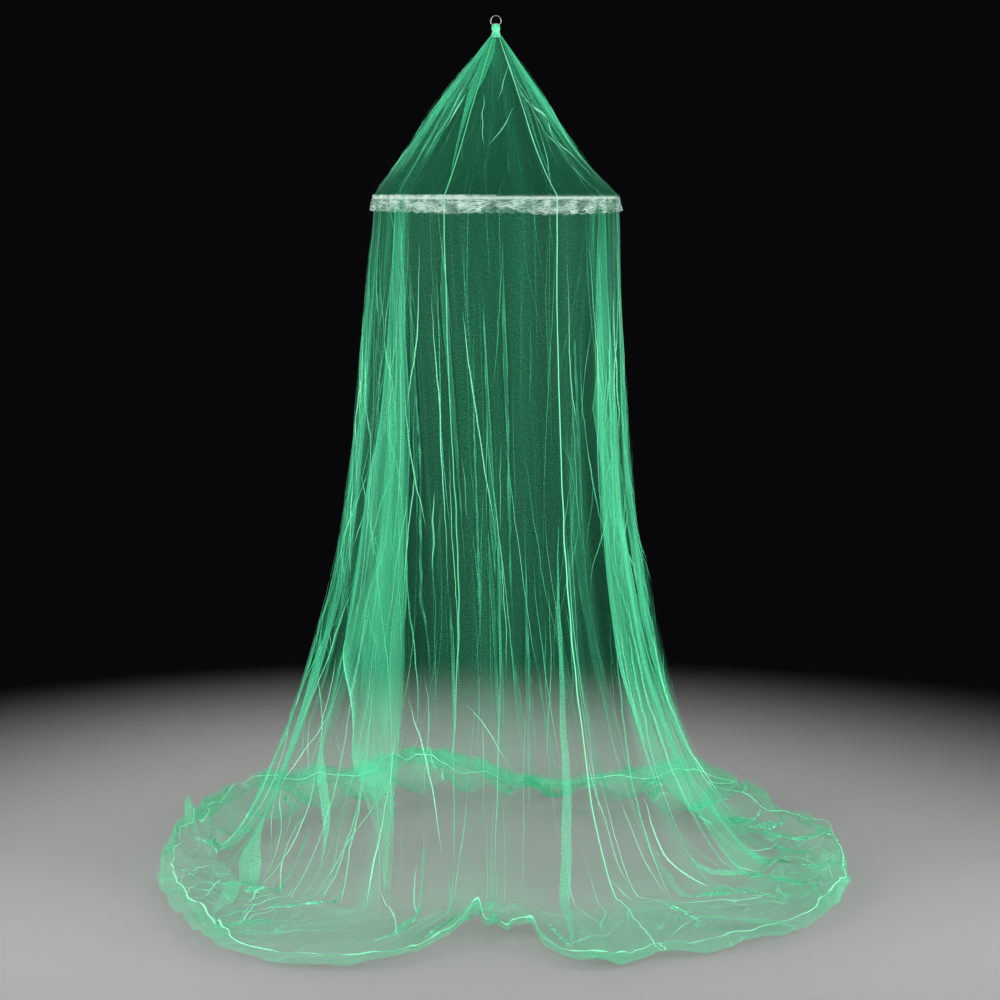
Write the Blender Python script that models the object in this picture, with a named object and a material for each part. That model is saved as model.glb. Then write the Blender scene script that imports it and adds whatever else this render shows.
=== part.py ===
"""Mosquito net canopy: a sheer net gathered on a small ring, spread by one hoop, pooling on the floor.

The net is two panels joined by two seams. A white lace is sewn round the hoop, and the lower edge is
turned back over itself and bound. Metres, +Z up, origin at the inner top of the ring that it hangs by.
The front is towards -Y. Azimuths run from the front towards +X.
"""
import math

import bmesh
import bpy
import numpy as np

# ---------------------------------------------------------------- driving sizes
HANG_DROP = 2.098            # inner top of the ring down to the floor
HOOP_HEIGHT = 1.670          # floor to the net's bend over the hoop
NECK_HEIGHT = 2.056          # floor to where the net leaves the gathered neck
RING_OUTER = 0.027           # outer diameter of the hang ring
RING_WIRE = 0.0022
HOOP_TUBE = 0.008
HOOP_DROP = 0.006            # middle of the hoop below the net's bend
HOOP_GAP = 0.0009            # from the net to the hoop inside it and to the lace outside it
NET_RADIUS = 0.2965          # middle of the net where it passes over the hoop
NECK_RADIUS = 0.009
CLOTH = 0.002                # thickness of the net panels
GAP = 0.0003                 # between pieces that touch
SEAM_WIDTH = 0.006
WIDEST_HALF_SEAM = 0.12      # in fold coordinates, where the folds crowd near the neck
BINDING_WIDTH = 0.007
BINDING_THICK = 0.0026
BINDING_GAP = 0.0008         # between the net's twisted edge and the binding
LACE_THICK = 0.0016
HEADING_DEPTH = 0.007
FRILL_DEPTH = 0.038
FRILL_DEPTH_DRIFT = 0.005    # slow change of the depth round the hoop
FRILL_SCALLOP = 0.004        # the scallops of its lower edge
FRILL_WAVES = 32
FRILL_SWING = 0.003          # how far the frill's lower edge swings out between the waves
FRILL_STAND = 0.008          # and how much further on them
FRILL_GAP = 0.0008           # between the tape and the frill's slanting top edge
FRILL_HITCH = 0.016          # the frill is hitched up here by so much
FRILL_HITCH_AT = 8           # azimuth of that place and its width, in degrees
FRILL_HITCH_WIDTH = 12

# The roof sags between the neck and the hoop, more on the +X side.
ROOF_SAG = 0.40
ROOF_SAG_SIDE = 0.26
# The skirt flares like a bell. A larger value lets the flare start higher up.
BELL = 0.54
BELL_SIDE = -0.09
FOOT_SOFTNESS = 0.06         # radius-like size of the bend from skirt to floor
REST = 0.0016                # middle of the lowest layer above the floor
TURN_RADIUS = 0.0032         # bend of the turned-back hem
CREST = 1.2                  # sharpness of the fold crests
TROUGH = 0.70                # part of a skirt fold's depth that lies inside the smooth bell
STEP = 1e-4                  # of the differences that give a surface's tangents

# One row for each main fold, from the front seam round the +X side, the back and the -X side.
# hoop, skirt, foot, hem: azimuth in degrees of the crest at those levels
# out: crest height on the skirt, ridge: crest height on the floor, lean: sideways tilt, all in mm
# foot_r, hem_r: distance from the axis to the foot and to the outer fold of the hem, in m
# turn: width of the turned-back hem, in m
FOLD_COLUMNS = ("hoop", "skirt", "foot", "hem", "out", "ridge", "lean", "foot_r", "hem_r", "turn")
FOLDS = (
    (28.5, 29.5, 33, 25, 16, 10, 0, 0.52, 0.875, 0.05),   # front seam
    (38, 38, 42, 40, 14, 12, 4, 0.54, 0.925, 0.06),
    (50, 46, 53, 57, 36, 14, 14, 0.60, 0.92, 0.05) ,      # edge of the right bundle
    (61, 59, 66, 69, 28, 18, 8, 0.65, 0.89, 0.03),
    (73, 74, 78, 77, 28, 22, 6, 0.67, 0.872, 0.02),
    (85, 89, 90, 84, 26, 24, 0, 0.68, 0.868, 0.02),
    (98, 103, 103, 95, 26, 28, -6, 0.67, 0.872, 0.03),
    (112, 116, 115, 108, 28, 30, -6, 0.66, 0.86, 0.05),
    (127, 130, 128, 124, 26, 38, -4, 0.65, 0.865, 0.06),
    (143, 145, 143, 141, 22, 68, 0, 0.65, 0.92, 0.07),
    (160, 160, 158, 158, 18, 42, 0, 0.64, 0.86, 0.08),
    (177, 174, 172, 173, 18, 36, 0, 0.63, 0.82, 0.08),
    (192, 184, 182, 183, 16, 46, 0, 0.64, 0.84, 0.08),
    (206, 193, 192, 193, 14, 55, 0, 0.68, 0.88, 0.08),    # back seam
    (219, 205, 204, 204, 18, 50, 0, 0.66, 0.87, 0.08),
    (232, 219, 217, 217, 24, 55, 4, 0.65, 0.90, 0.07),
    (245, 234, 230, 228, 26, 68, 6, 0.66, 0.91, 0.06),
    (257, 248, 245, 242, 26, 38, 6, 0.67, 0.85, 0.06),
    (268, 261, 260, 253, 24, 28, 4, 0.68, 0.815, 0.04),
    (279, 274, 272, 264, 28, 32, -8, 0.68, 0.815, 0.05),  # outermost fold on the -X side
    (290, 287, 288, 276, 24, 24, -8, 0.66, 0.835, 0.05),
    (300, 300, 303, 290, 26, 20, -8, 0.63, 0.855, 0.05),
    (309, 313, 319, 308, 26, 14, -8, 0.60, 0.905, 0.05),
    (317, 329, 336, 322, 32, 12, -12, 0.56, 0.97, 0.06),  # edge of the left bundle
    (328, 341, 347, 340, 16, 10, 0, 0.51, 0.935, 0.06),
    (341, 353, 353, 349.5, 10, 12, 0, 0.47, 0.75, 0.035),
    (354, 361, 359, 358, 6, 8, 0, 0.43, 0.585, 0.025),    # notch in the front hem
    (367, 369, 366, 366, 10, 12, 0, 0.46, 0.70, 0.035),
    (376, 379, 379, 374.5, 12, 10, 0, 0.50, 0.90, 0.05),
)
FOLD = dict(zip(FOLD_COLUMNS, np.array(FOLDS, dtype=float).T))
FOLD_COUNT = len(FOLDS)
BACK_SEAM = 13               # row of FOLDS that is the back seam; the front seam is row 0
COLUMNS_PER_FOLD = 3

# Levels down the net: 0 neck, 1 hoop, 2 foot, 3 outer fold of the hem, 4 its bound edge.
SKIRT_LEVEL = 1.6
ROOF_LEVELS = (0.0, 0.06, 0.18, 0.36, 0.58, 0.80, 1.0)
SKIRT_LEVELS = (1.03, 1.09, 1.18, 1.30, 1.42, 1.54, 1.65, 1.75, 1.84, 1.91, 1.96)
FLOOR_LEVELS = (2.02, 2.16, 2.36, 2.58, 2.80, 3.0)
TURN_ANGLES = (math.pi / 3, math.pi * 2 / 3, math.pi)    # steps of the hem's bend

# Share of a fold's depth: levels in the first row, shares in the second.
ROOF_FOLDING = ((0.1, 0.5, 1.0), (0.0, 0.4, 0.0))
SKIRT_FOLDING = ((1.02, 1.12, 1.3, 1.6, 1.9, 2.1), (0.0, 0.15, 0.6, 0.9, 1.0, 0.0))
FLOOR_FOLDING_FROM = 1.9     # level where the folds' floor heights start to take over
FLOOR_Z = -HANG_DROP
FULL_TURN = 2 * math.pi


# ---------------------------------------------------------------- the net as a surface
def around(name, u):
    """Column of FOLDS as a smooth closed curve of the fold coordinate u (Catmull-Rom pieces)."""
    values = FOLD[name]
    rows = np.floor(u).astype(int)
    f = u - rows
    turn = 360.0 if name in ("hoop", "skirt", "foot", "hem") else 0.0

    def row(step):
        index = rows + step
        return values[index % FOLD_COUNT] + turn * (index // FOLD_COUNT)

    a, b, c, d = row(-1), row(0), row(1), row(2)
    return b + 0.5 * f * (c - a + f * (2 * a - 5 * b + 4 * c - d + f * (3 * (b - c) + d - a)))


def azimuth(u, s):
    """Direction of fold coordinate u at level s, in radians: the four azimuths of FOLDS, eased."""
    def ease(low, high):
        t = np.clip((s - low) / (high - low), 0, 1)
        return t * t * (3 - 2 * t)

    hoop, skirt, foot, hem = (around(name, u) for name in FOLD_COLUMNS[:4])
    degrees = hoop + (skirt - hoop) * ease(1, SKIRT_LEVEL + 0.15)
    degrees += (foot - skirt) * ease(SKIRT_LEVEL - 0.1, 2.1) + (hem - foot) * ease(1.9, 3)
    return np.radians(degrees)


def smooth_net(u, s):
    """The net without its folds: roof cone with a sag, bell skirt, soft foot and flat pool."""
    angle = azimuth(u, s)
    foot_r = around("foot_r", u)
    edge_r = around("hem_r", u) - TURN_RADIUS
    t = np.clip(s, 0, 1)
    sag = ROOF_SAG + ROOF_SAG_SIDE * np.sin(angle)
    roof_r = NECK_RADIUS + (NET_RADIUS - NECK_RADIUS) * (t - sag * t * t * (1 - t))
    drop = HOOP_HEIGHT * (2 - np.clip(s, 1, 2))
    decay = BELL + BELL_SIDE * np.sin(angle)
    rest = np.exp(-HOOP_HEIGHT / decay)
    flare = (np.exp(-drop / decay) - rest) / (1 - rest)
    out = (edge_r - foot_r) * np.maximum(s - 2, 0)
    radius = np.where(s < 1, roof_r, NET_RADIUS + (foot_r - NET_RADIUS) * flare + out)
    line = drop - out
    surplus = REST + (math.hypot(HOOP_HEIGHT, FOOT_SOFTNESS) - HOOP_HEIGHT) / 2
    height = REST + (line + np.sqrt(line ** 2 + FOOT_SOFTNESS ** 2)) / 2
    height -= surplus * np.clip(line / HOOP_HEIGHT, 0, 1)
    height = np.where(s < 1, NECK_HEIGHT + (HOOP_HEIGHT - NECK_HEIGHT) * t, height)
    return np.stack((radius * np.sin(angle), -radius * np.cos(angle), height + FLOOR_Z), axis=-1)


def unit(vectors):
    """Vectors of length one."""
    return vectors / np.linalg.norm(vectors, axis=-1, keepdims=True)


def slopes(surface, u, s):
    """The surface's two tangents at (u, s), by small differences."""
    along_u = surface(u + STEP, s) - surface(u - STEP, s)
    along_s = surface(u, np.minimum(s + STEP, 4)) - surface(u, np.maximum(s - STEP, 0))
    return along_u, along_s


def folded_net(u, s):
    """The smooth net pushed out along its normal at each crest, and sideways by the fold's lean.

    The push is a raised cosine between neighbouring troughs. It fades out at the neck and at the
    hoop, where the net is held, and goes over from the skirt's depth to the floor's at the foot.
    On the skirt the troughs are pushed in, and on the floor they lie flat.
    """
    crest = np.round(u).astype(int)
    shape = (0.5 + 0.5 * np.cos(FULL_TURN * (u - crest))) ** CREST
    out, ridge, lean = (FOLD[name][crest % FOLD_COUNT] / 1000 for name in ("out", "ridge", "lean"))
    on_roof = np.interp(s, *ROOF_FOLDING)
    on_skirt = np.interp(s, *SKIRT_FOLDING)
    on_floor = np.clip((s - FLOOR_FOLDING_FROM) / 0.2, 0, 1.525 - s / 4)
    push = shape * (out * (on_roof + on_skirt) + ridge * on_floor)
    push -= TROUGH * around("out", u) / 1000 * on_skirt
    sideways = shape * lean * (on_skirt + on_floor)
    along_u, along_s = slopes(smooth_net, u, s)
    normal = unit(np.cross(along_s, along_u))
    return smooth_net(u, s) + push[..., None] * normal + sideways[..., None] * unit(along_u)


def net(u, s):
    """The whole net. Past level 3 the hem turns up in a half circle and lies back over the net.

    There the distance from the outer fold is (s - 3) times the hem's width.
    """
    travel = np.clip(s - 3, 0, 1) * around("turn", u)
    bend = np.clip(travel / TURN_RADIUS, 0, math.pi)
    back = np.maximum(travel - math.pi * TURN_RADIUS, 0)
    pool = around("hem_r", u) - TURN_RADIUS - around("foot_r", u)
    level = np.minimum(s, 3) - back / pool
    along_u, along_s = slopes(folded_net, u, level)
    normal = unit(np.cross(along_s, along_u))
    outward = unit(np.cross(along_u, normal))
    return folded_net(u, level) + TURN_RADIUS * (
        outward * np.sin(bend)[..., None] + normal * (1 - np.cos(bend))[..., None])


# ---------------------------------------------------------------- from surfaces to solids
def sheet(name, middle, normal, thickness, closed=False):
    """Closed solid of a sheet: grids of its middle points and normals, with faces on both sides.

    Each cell is cut along its shorter diagonal, the same one on both sides, so that the two sides
    of a twisted cell stay apart.
    """
    rows, columns, _ = middle.shape
    half = normal * thickness / 2
    points = np.concatenate(((middle + half).reshape(-1, 3), (middle - half).reshape(-1, 3)))
    index = np.arange(rows * columns).reshape(rows, columns)
    inner = rows * columns
    if closed:
        index = np.hstack((index, index[:, :1]))
    corners = (index[:-1, :-1], index[1:, :-1], index[1:, 1:], index[:-1, 1:])
    a, b, c, d = (corner.ravel() for corner in corners)
    flat = middle.reshape(-1, 3)
    falling = np.linalg.norm(flat[a] - flat[c], axis=-1) <= np.linalg.norm(flat[b] - flat[d], axis=-1)
    first = np.where(falling, (a, b, c), (a, b, d)).T
    second = np.where(falling, (a, c, d), (b, c, d)).T
    outside = np.concatenate((first, second))
    edges = [(index[0], 1), (index[-1], -1)]
    if not closed:
        edges += [(index[:, 0], -1), (index[:, -1], 1)]
    faces = [outside, outside[:, ::-1] + inner]
    for edge, way in edges:
        low, high = edge[:-1], edge[1:]
        faces += [np.stack(triangle, axis=-1)[:, ::way]
                  for triangle in ((low, high, high + inner), (low, high + inner, low + inner))]
    mesh = bpy.data.meshes.new(name)
    mesh.from_pydata(points.tolist(), [], np.concatenate(faces).tolist())
    return finish(name, mesh)


def net_solid(name, u, s, thickness=CLOTH, closed=False):
    """Sheet of the net over grids of the fold coordinate u and the level s."""
    u, s = np.broadcast_arrays(u, s)
    along_u, along_s = slopes(net, u, s)
    return sheet(name, net(u, s), unit(np.cross(along_s, along_u)), thickness, closed)


def finish(name, mesh):
    """Object from a mesh: faces pointing out, smooth but for the rims, in the canopy's collection."""
    work = bmesh.new()
    work.from_mesh(mesh)
    bmesh.ops.recalc_face_normals(work, faces=work.faces)
    work.to_mesh(mesh)
    work.free()
    mesh.shade_smooth()
    mesh.set_sharp_from_angle(angle=math.radians(50))
    piece = bpy.data.objects.new(name, mesh)
    canopy.objects.link(piece)
    return piece


def levels_down(u):
    """Rows of levels for the columns u, ending a gap short of the binding on the turned-back hem."""
    turn = around("turn", u)
    upper = [np.full_like(u, level) for level in ROOF_LEVELS + SKIRT_LEVELS + FLOOR_LEVELS]
    bend = [3 + angle * TURN_RADIUS / turn for angle in TURN_ANGLES]
    end = 4 - (BINDING_WIDTH + BINDING_GAP) / turn
    return np.stack(upper + bend + [(bend[-1] + end) / 2, end])


def seam_half_width(u, s):
    """Half a seam's width and the gap beside it, in fold coordinates. It narrows near the neck."""
    along_u, _ = slopes(smooth_net, u, np.minimum(s, 3))
    per_metre = 2 * STEP / np.linalg.norm(along_u, axis=-1)
    return np.minimum(SEAM_WIDTH / 2 * per_metre, WIDEST_HALF_SEAM), GAP * per_metre


def panel(name, first, last):
    """One net panel between the seams at the fold rows first and last."""
    steps = (last - first) * COLUMNS_PER_FOLD
    u = first + np.arange(steps + 1) / COLUMNS_PER_FOLD
    s = levels_down(u)
    u = np.tile(u, (len(s), 1))
    for column, side in ((0, 1), (-1, -1)):
        half, gap = seam_half_width(u[:, column], s[:, column])
        u[:, column] += side * (half + gap)
    return net_solid(name, u, s)


def seam(name, row):
    """Narrow seam band that joins the panels along one fold row, from neck to hem."""
    u = np.full(1, float(row))
    s = levels_down(u)
    half, _ = seam_half_width(np.full(s.shape, float(row)), s)
    return net_solid(name, row + half * np.array((-1.0, 1.0)), s)


def hem_binding():
    """Binding round the free edge of the turned-back hem, one closed band."""
    u = np.arange(FOLD_COUNT * COLUMNS_PER_FOLD) / COLUMNS_PER_FOLD
    seams = np.array((0.0, BACK_SEAM))
    half, _ = seam_half_width(seams, np.full(2, 4.0))
    u = np.sort(np.concatenate((np.setdiff1d(u, seams), seams - half, seams + half)))
    s = np.stack((4 - BINDING_WIDTH / around("turn", u), np.full_like(u, 4)))
    return net_solid("hem_binding", u, s, BINDING_THICK, closed=True)


# ---------------------------------------------------------------- hoop, lace, neck and ring
def hoop():
    """Round tube that spreads the net, a hair inside the net's bend."""
    tube = HOOP_TUBE / 2
    bpy.ops.mesh.primitive_torus_add(
        major_segments=56, minor_segments=8,
        major_radius=NET_RADIUS - CLOTH / 2 - HOOP_GAP - tube, minor_radius=tube,
        location=(0, 0, HOOP_HEIGHT - HOOP_DROP + FLOOR_Z))
    return adopt("hoop")


LACE_RADIUS = NET_RADIUS + CLOTH / 2 + HOOP_GAP + LACE_THICK / 2


def lace_heading():
    """Flat tape round the net over the hoop, from which the lace frill falls."""
    angle = np.linspace(0, FULL_TURN, 64, endpoint=False)
    outward = np.stack((np.sin(angle), -np.cos(angle), np.zeros_like(angle)), axis=-1)
    top = HOOP_HEIGHT + FLOOR_Z
    heights = np.array((top, top - HEADING_DEPTH))
    middle = outward * LACE_RADIUS + heights[:, None, None] * np.array((0.0, 0.0, 1.0))
    return sheet("lace_heading", middle, np.broadcast_to(outward, middle.shape), LACE_THICK, closed=True)


def frill_point(angle, t):
    """Frill point at fraction t of its depth: it falls from the tape and swings out in waves.

    Its lower edge is scalloped, and it is hitched up at the front, a little to the +X side.
    """
    wave = 0.5 + 0.5 * np.cos(FRILL_WAVES * angle + 1.5 * np.sin(3 * angle))
    hitch = FRILL_HITCH * np.exp(-((np.degrees(angle) - FRILL_HITCH_AT) / FRILL_HITCH_WIDTH) ** 2)
    depth = FRILL_DEPTH + FRILL_DEPTH_DRIFT * np.sin(2 * angle + 1) + FRILL_SCALLOP * wave - hitch
    radius = LACE_RADIUS + t * (FRILL_SWING + FRILL_STAND * wave)
    height = HOOP_HEIGHT - HEADING_DEPTH - FRILL_GAP - t * depth + FLOOR_Z
    return np.stack((radius * np.sin(angle), -radius * np.cos(angle), height), axis=-1)


def lace_frill():
    """Gathered lace falling from the tape."""
    angle = np.linspace(-math.pi, math.pi, 96, endpoint=False)
    t = np.array((0.0, 0.45, 1.0))[:, None]
    angle, t = np.broadcast_arrays(angle, t)
    step = 1e-4
    along = frill_point(angle + step, t) - frill_point(angle - step, t)
    down = frill_point(angle, t + step) - frill_point(angle, t - step)
    return sheet("lace_frill", frill_point(angle, t), unit(np.cross(down, along)), LACE_THICK, closed=True)


# Sections of the gathered neck, bottom to top: height over the floor, half width and half depth.
NECK_SIDES = 20
NECK_FLUTE = 0.05            # the gathers, as a part of the neck's width
NECK_SECTIONS = (
    (2.0572, 0.0098, 0.0098),
    (2.0600, 0.0084, 0.0080),
    (2.0660, 0.0100, 0.0080),
    (2.0730, 0.0096, 0.0066),
    (2.0775, 0.0080, 0.0050),
    (2.0800, 0.0045, 0.0028),
)


def neck_binding():
    """Tops of both panels, gathered, folded over the ring's wire and tied: a fluted, waisted lump."""
    angle = np.arange(NECK_SIDES) * FULL_TURN / NECK_SIDES
    flute = 1 + NECK_FLUTE * np.cos(angle * NECK_SIDES / 2)
    rings = [np.stack((flute * wide * np.sin(angle), -flute * deep * np.cos(angle),
                       np.full(NECK_SIDES, height + FLOOR_Z)), axis=-1)
             for height, wide, deep in NECK_SECTIONS]
    work = bmesh.new()
    loops = [[work.verts.new(point) for point in ring] for ring in rings]
    for low, high in zip(loops, loops[1:]):
        for k in range(NECK_SIDES):
            n = (k + 1) % NECK_SIDES
            work.faces.new((low[k], low[n], high[n], high[k]))
    work.faces.new(loops[0][::-1])
    work.faces.new(loops[-1])
    mesh = bpy.data.meshes.new("neck_binding")
    work.to_mesh(mesh)
    work.free()
    neck = finish("neck_binding", mesh)
    tunnel = ring_torus(RING_WIRE / 2 + GAP, 40, 10)
    tunnel.name = "ring_tunnel"
    for collection in tunnel.users_collection:
        collection.objects.unlink(tunnel)
    cutters.objects.link(tunnel)
    tunnel.hide_render = True
    tunnel.display_type = 'WIRE'
    cut = neck.modifiers.new("ring_tunnel", 'BOOLEAN')
    cut.operation = 'DIFFERENCE'
    cut.solver = 'EXACT'
    cut.object = tunnel
    return neck


def ring_torus(wire_radius, segments, sides):
    """Torus of the hang ring's size, standing upright with its face to the front."""
    bpy.ops.mesh.primitive_torus_add(
        major_segments=segments, minor_segments=sides,
        major_radius=(RING_OUTER - RING_WIRE) / 2, minor_radius=wire_radius,
        location=(0, 0, RING_WIRE - RING_OUTER / 2), rotation=(math.pi / 2, 0, 0))
    return bpy.context.object


def hang_ring():
    """Small steel ring that the canopy hangs by, through the fold of the neck."""
    ring_torus(RING_WIRE / 2, 28, 8)
    return adopt("hang_ring")


def adopt(name):
    """The object just added, named and moved to the canopy's collection, shaded smooth."""
    piece = bpy.context.object
    piece.name = name
    for collection in piece.users_collection:
        collection.objects.unlink(piece)
    canopy.objects.link(piece)
    piece.data.shade_smooth()
    return piece


# ---------------------------------------------------------------- materials
def material(name, colour, roughness, metallic=0.0, alpha=1.0):
    """Principled material of one piece."""
    finish_of = bpy.data.materials.new(name)
    finish_of.use_nodes = True
    shader = finish_of.node_tree.nodes["Principled BSDF"]
    shader.inputs["Base Color"].default_value = (*colour, 1)
    shader.inputs["Roughness"].default_value = roughness
    shader.inputs["Metallic"].default_value = metallic
    shader.inputs["Alpha"].default_value = alpha
    return finish_of


# ---------------------------------------------------------------- build
for old in list(bpy.data.objects):
    bpy.data.objects.remove(old)
canopy = bpy.data.collections.new("Mosquito_net_canopy")
cutters = bpy.data.collections.new("Cutters")
bpy.context.scene.collection.children.link(canopy)
bpy.context.scene.collection.children.link(cutters)

green_net = material("green_net", (0.05, 0.42, 0.20), 0.6, alpha=0.5)
green_binding = material("green_binding", (0.28, 0.80, 0.48), 0.6)
white_lace = material("white_lace", (0.80, 0.88, 0.82), 0.7)
hoop_plastic = material("hoop_plastic", (0.85, 0.86, 0.84), 0.35)
ring_steel = material("ring_steel", (0.55, 0.55, 0.56), 0.3, metallic=1.0)

PIECES = (
    (panel("net_panel_right", 0, BACK_SEAM), green_net),
    (panel("net_panel_left", BACK_SEAM, FOLD_COUNT), green_net),
    (seam("seam_front", 0), green_binding),
    (seam("seam_back", BACK_SEAM), green_binding),
    (hem_binding(), green_binding),
    (lace_heading(), white_lace),
    (lace_frill(), white_lace),
    (hoop(), hoop_plastic),
    (neck_binding(), green_binding),
    (hang_ring(), ring_steel),
)
for piece, look in PIECES:
    piece.data.materials.append(look)
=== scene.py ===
# %% [markdown]
# # A mosquito net canopy
# The real thing is two panels of very sheer green net. They are gathered on a small steel ring, spread
# by one hoop under a band of white lace, and so long that the rest lies out on the floor. This lesson
# dresses the plain solids of that canopy: every piece is worked out again as a fine surface with numpy,
# in the same frame, and gets its own material. The solids come first, as the frame to work in.

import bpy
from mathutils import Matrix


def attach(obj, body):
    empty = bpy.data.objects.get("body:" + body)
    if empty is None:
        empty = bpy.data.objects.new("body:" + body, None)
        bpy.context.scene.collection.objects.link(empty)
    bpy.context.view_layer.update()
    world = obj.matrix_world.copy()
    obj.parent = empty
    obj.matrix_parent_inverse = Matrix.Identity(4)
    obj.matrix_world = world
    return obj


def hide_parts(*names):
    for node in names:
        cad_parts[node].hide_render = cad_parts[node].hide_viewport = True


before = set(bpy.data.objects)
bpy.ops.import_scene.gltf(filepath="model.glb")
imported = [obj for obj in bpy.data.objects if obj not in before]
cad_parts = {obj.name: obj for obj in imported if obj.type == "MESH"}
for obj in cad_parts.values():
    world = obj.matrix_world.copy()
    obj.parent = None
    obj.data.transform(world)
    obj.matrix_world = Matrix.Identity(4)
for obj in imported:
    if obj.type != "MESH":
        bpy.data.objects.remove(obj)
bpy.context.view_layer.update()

# %% [markdown]
# ## The camera
# The hoop is seen exactly edge on, so the camera stands at the hoop's height, 6.2 m away, and looks a
# little down. A long lens keeps the net's proportions. It comes first, because every later step is
# judged through it.

# %% Camera at the photograph's viewing angle
import math

import bpy
import numpy as np
from mathutils import Vector

FLOOR_Z = -2.098  # the frame starts at the inner top of the ring
HOOP_HEIGHT = 1.670  # over the floor, as every height here
CAMERA_ASIDE, CAMERA_DISTANCE = 0.0098, 6.2
CAMERA_PITCH = math.radians(6.855)
LENS_MM, SENSOR_MM = 91.3, 36.0


def place_object(name, data):
    """New object for a mesh, lamp or camera, put into the scene."""
    made = bpy.data.objects.new(name, data)
    bpy.context.scene.collection.objects.link(made)
    return made


camera = place_object("photo_camera", bpy.data.cameras.new("photo_lens"))
camera.data.lens, camera.data.sensor_width, camera.data.sensor_fit = LENS_MM, SENSOR_MM, 'HORIZONTAL'
camera.location = (CAMERA_ASIDE, -CAMERA_DISTANCE, HOOP_HEIGHT + FLOOR_Z)
camera.rotation_euler = (math.pi / 2 - CAMERA_PITCH, 0, 0)
bpy.context.scene.camera = camera
print("camera", camera.location[:], "lens", camera.data.lens)

# %% [markdown]
# ## The net's main shape
# The solids were made from a table with one row for each main fold, and the fine cloth has to lie on
# them, so the same table and the same formulas are used here. A point of the net has two parameters:
# u counts the folds round the canopy, and s runs down it, from 0 at the neck over 1 at the hoop and 2 at
# the foot to 3 at the outer fold of the hem. Past 3 the hem turns up and lies back over the net.

# %% Driving sizes and the fold table
NECK_HEIGHT, NECK_RADIUS = 2.056, 0.009
NET_RADIUS = 0.2965
CLOTH, GAP = 0.002, 0.0003  # the solid cloth's thickness and the gap beside a seam
SEAM_WIDTH = 0.0024
WIDEST_HALF_SEAM = 0.12  # in folds, where they run together
ROOF_SAG, ROOF_SAG_SIDE = 0.40, 0.26  # share of the roof's slant, and its change towards +X
BELL, BELL_SIDE = 0.54, -0.09  # height in which the flare falls off, and its change towards +X
FOOT_SOFTNESS = 0.06
REST = 0.0016  # the cloth's middle over the floor
TURN_RADIUS = 0.0032
CREST, TROUGH = 1.2, 0.70  # power of a fold's cosine, and share of its height taken off again
STEP = 1e-4
FULL_TURN = 2 * math.pi
# levels, and the share of the folds' height there
ROOF_FOLDING = ((0.1, 0.5, 1.0), (0.0, 0.4, 0.0))
SKIRT_FOLDING = ((1.02, 1.12, 1.3, 1.6, 1.9, 2.1), (0.0, 0.15, 0.6, 0.9, 1.0, 0.0))
FLOOR_FOLDING = (1.9, 2.1)  # levels between which the folds of the floor take over
HEM_CALM = 0.7  # share of their height that is lost where the hem is bunched
# the folds' directions: from one column to the next between two levels
TURNS = (("hoop", "skirt", 1.0, 1.75), ("skirt", "foot", 1.5, 2.1), ("foot", "hem", 1.9, 3.0))

# hoop, skirt, foot, hem: azimuths in degrees; out, ridge, lean in mm; foot_r, hem_r, turn in m
AZIMUTHS = ("hoop", "skirt", "foot", "hem")
FOLDS = (
    (28.5, 29.5, 33, 25, 16, 10, 0, 0.52, 0.875, 0.05),   # front seam
    (38, 38, 42, 40, 14, 12, 4, 0.54, 0.925, 0.06),
    (50, 46, 53, 57, 36, 14, 14, 0.60, 0.92, 0.05),       # edge of the right bundle
    (61, 59, 66, 69, 28, 18, 8, 0.65, 0.89, 0.03),
    (73, 74, 78, 77, 28, 22, 6, 0.67, 0.872, 0.02),
    (85, 89, 90, 84, 26, 24, 0, 0.68, 0.868, 0.02),
    (98, 103, 103, 95, 26, 28, -6, 0.67, 0.872, 0.03),
    (112, 116, 115, 108, 28, 30, -6, 0.66, 0.86, 0.05),
    (127, 130, 128, 124, 26, 38, -4, 0.65, 0.865, 0.06),
    (143, 145, 143, 141, 22, 68, 0, 0.65, 0.92, 0.07),
    (160, 160, 158, 158, 18, 42, 0, 0.64, 0.86, 0.08),
    (177, 174, 172, 173, 18, 36, 0, 0.63, 0.82, 0.08),
    (192, 184, 182, 183, 16, 46, 0, 0.64, 0.84, 0.08),
    (206, 193, 192, 193, 14, 55, 0, 0.68, 0.88, 0.08),    # back seam
    (219, 205, 204, 204, 18, 50, 0, 0.66, 0.87, 0.08),
    (232, 219, 217, 217, 24, 55, 4, 0.65, 0.90, 0.07),
    (245, 234, 230, 228, 26, 68, 6, 0.66, 0.91, 0.06),
    (257, 248, 245, 242, 26, 38, 6, 0.67, 0.85, 0.06),
    (268, 261, 260, 253, 24, 28, 4, 0.68, 0.815, 0.04),
    (279, 274, 272, 264, 28, 32, -8, 0.68, 0.815, 0.05),  # outermost fold on the -X side
    (290, 287, 288, 276, 24, 24, -8, 0.66, 0.835, 0.05),
    (300, 300, 303, 290, 26, 20, -8, 0.63, 0.855, 0.05),
    (309, 313, 319, 308, 26, 14, -8, 0.60, 0.905, 0.05),
    (317, 329, 336, 322, 32, 12, -12, 0.56, 0.97, 0.06),  # edge of the left bundle
    (328, 341, 347, 340, 16, 10, 0, 0.51, 0.935, 0.06),
    (341, 353, 353, 349.5, 10, 12, 0, 0.47, 0.75, 0.035),
    (354, 361, 359, 358, 6, 8, 0, 0.43, 0.585, 0.025),    # notch in the front hem
    (367, 369, 366, 366, 10, 12, 0, 0.46, 0.70, 0.035),
    (376, 379, 379, 374.5, 12, 10, 0, 0.50, 0.90, 0.05),
)
FOLD_COLUMNS = AZIMUTHS + ("out", "ridge", "lean", "foot_r", "hem_r", "turn")
FOLD = dict(zip(FOLD_COLUMNS, np.array(FOLDS, dtype=float).T))
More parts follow.
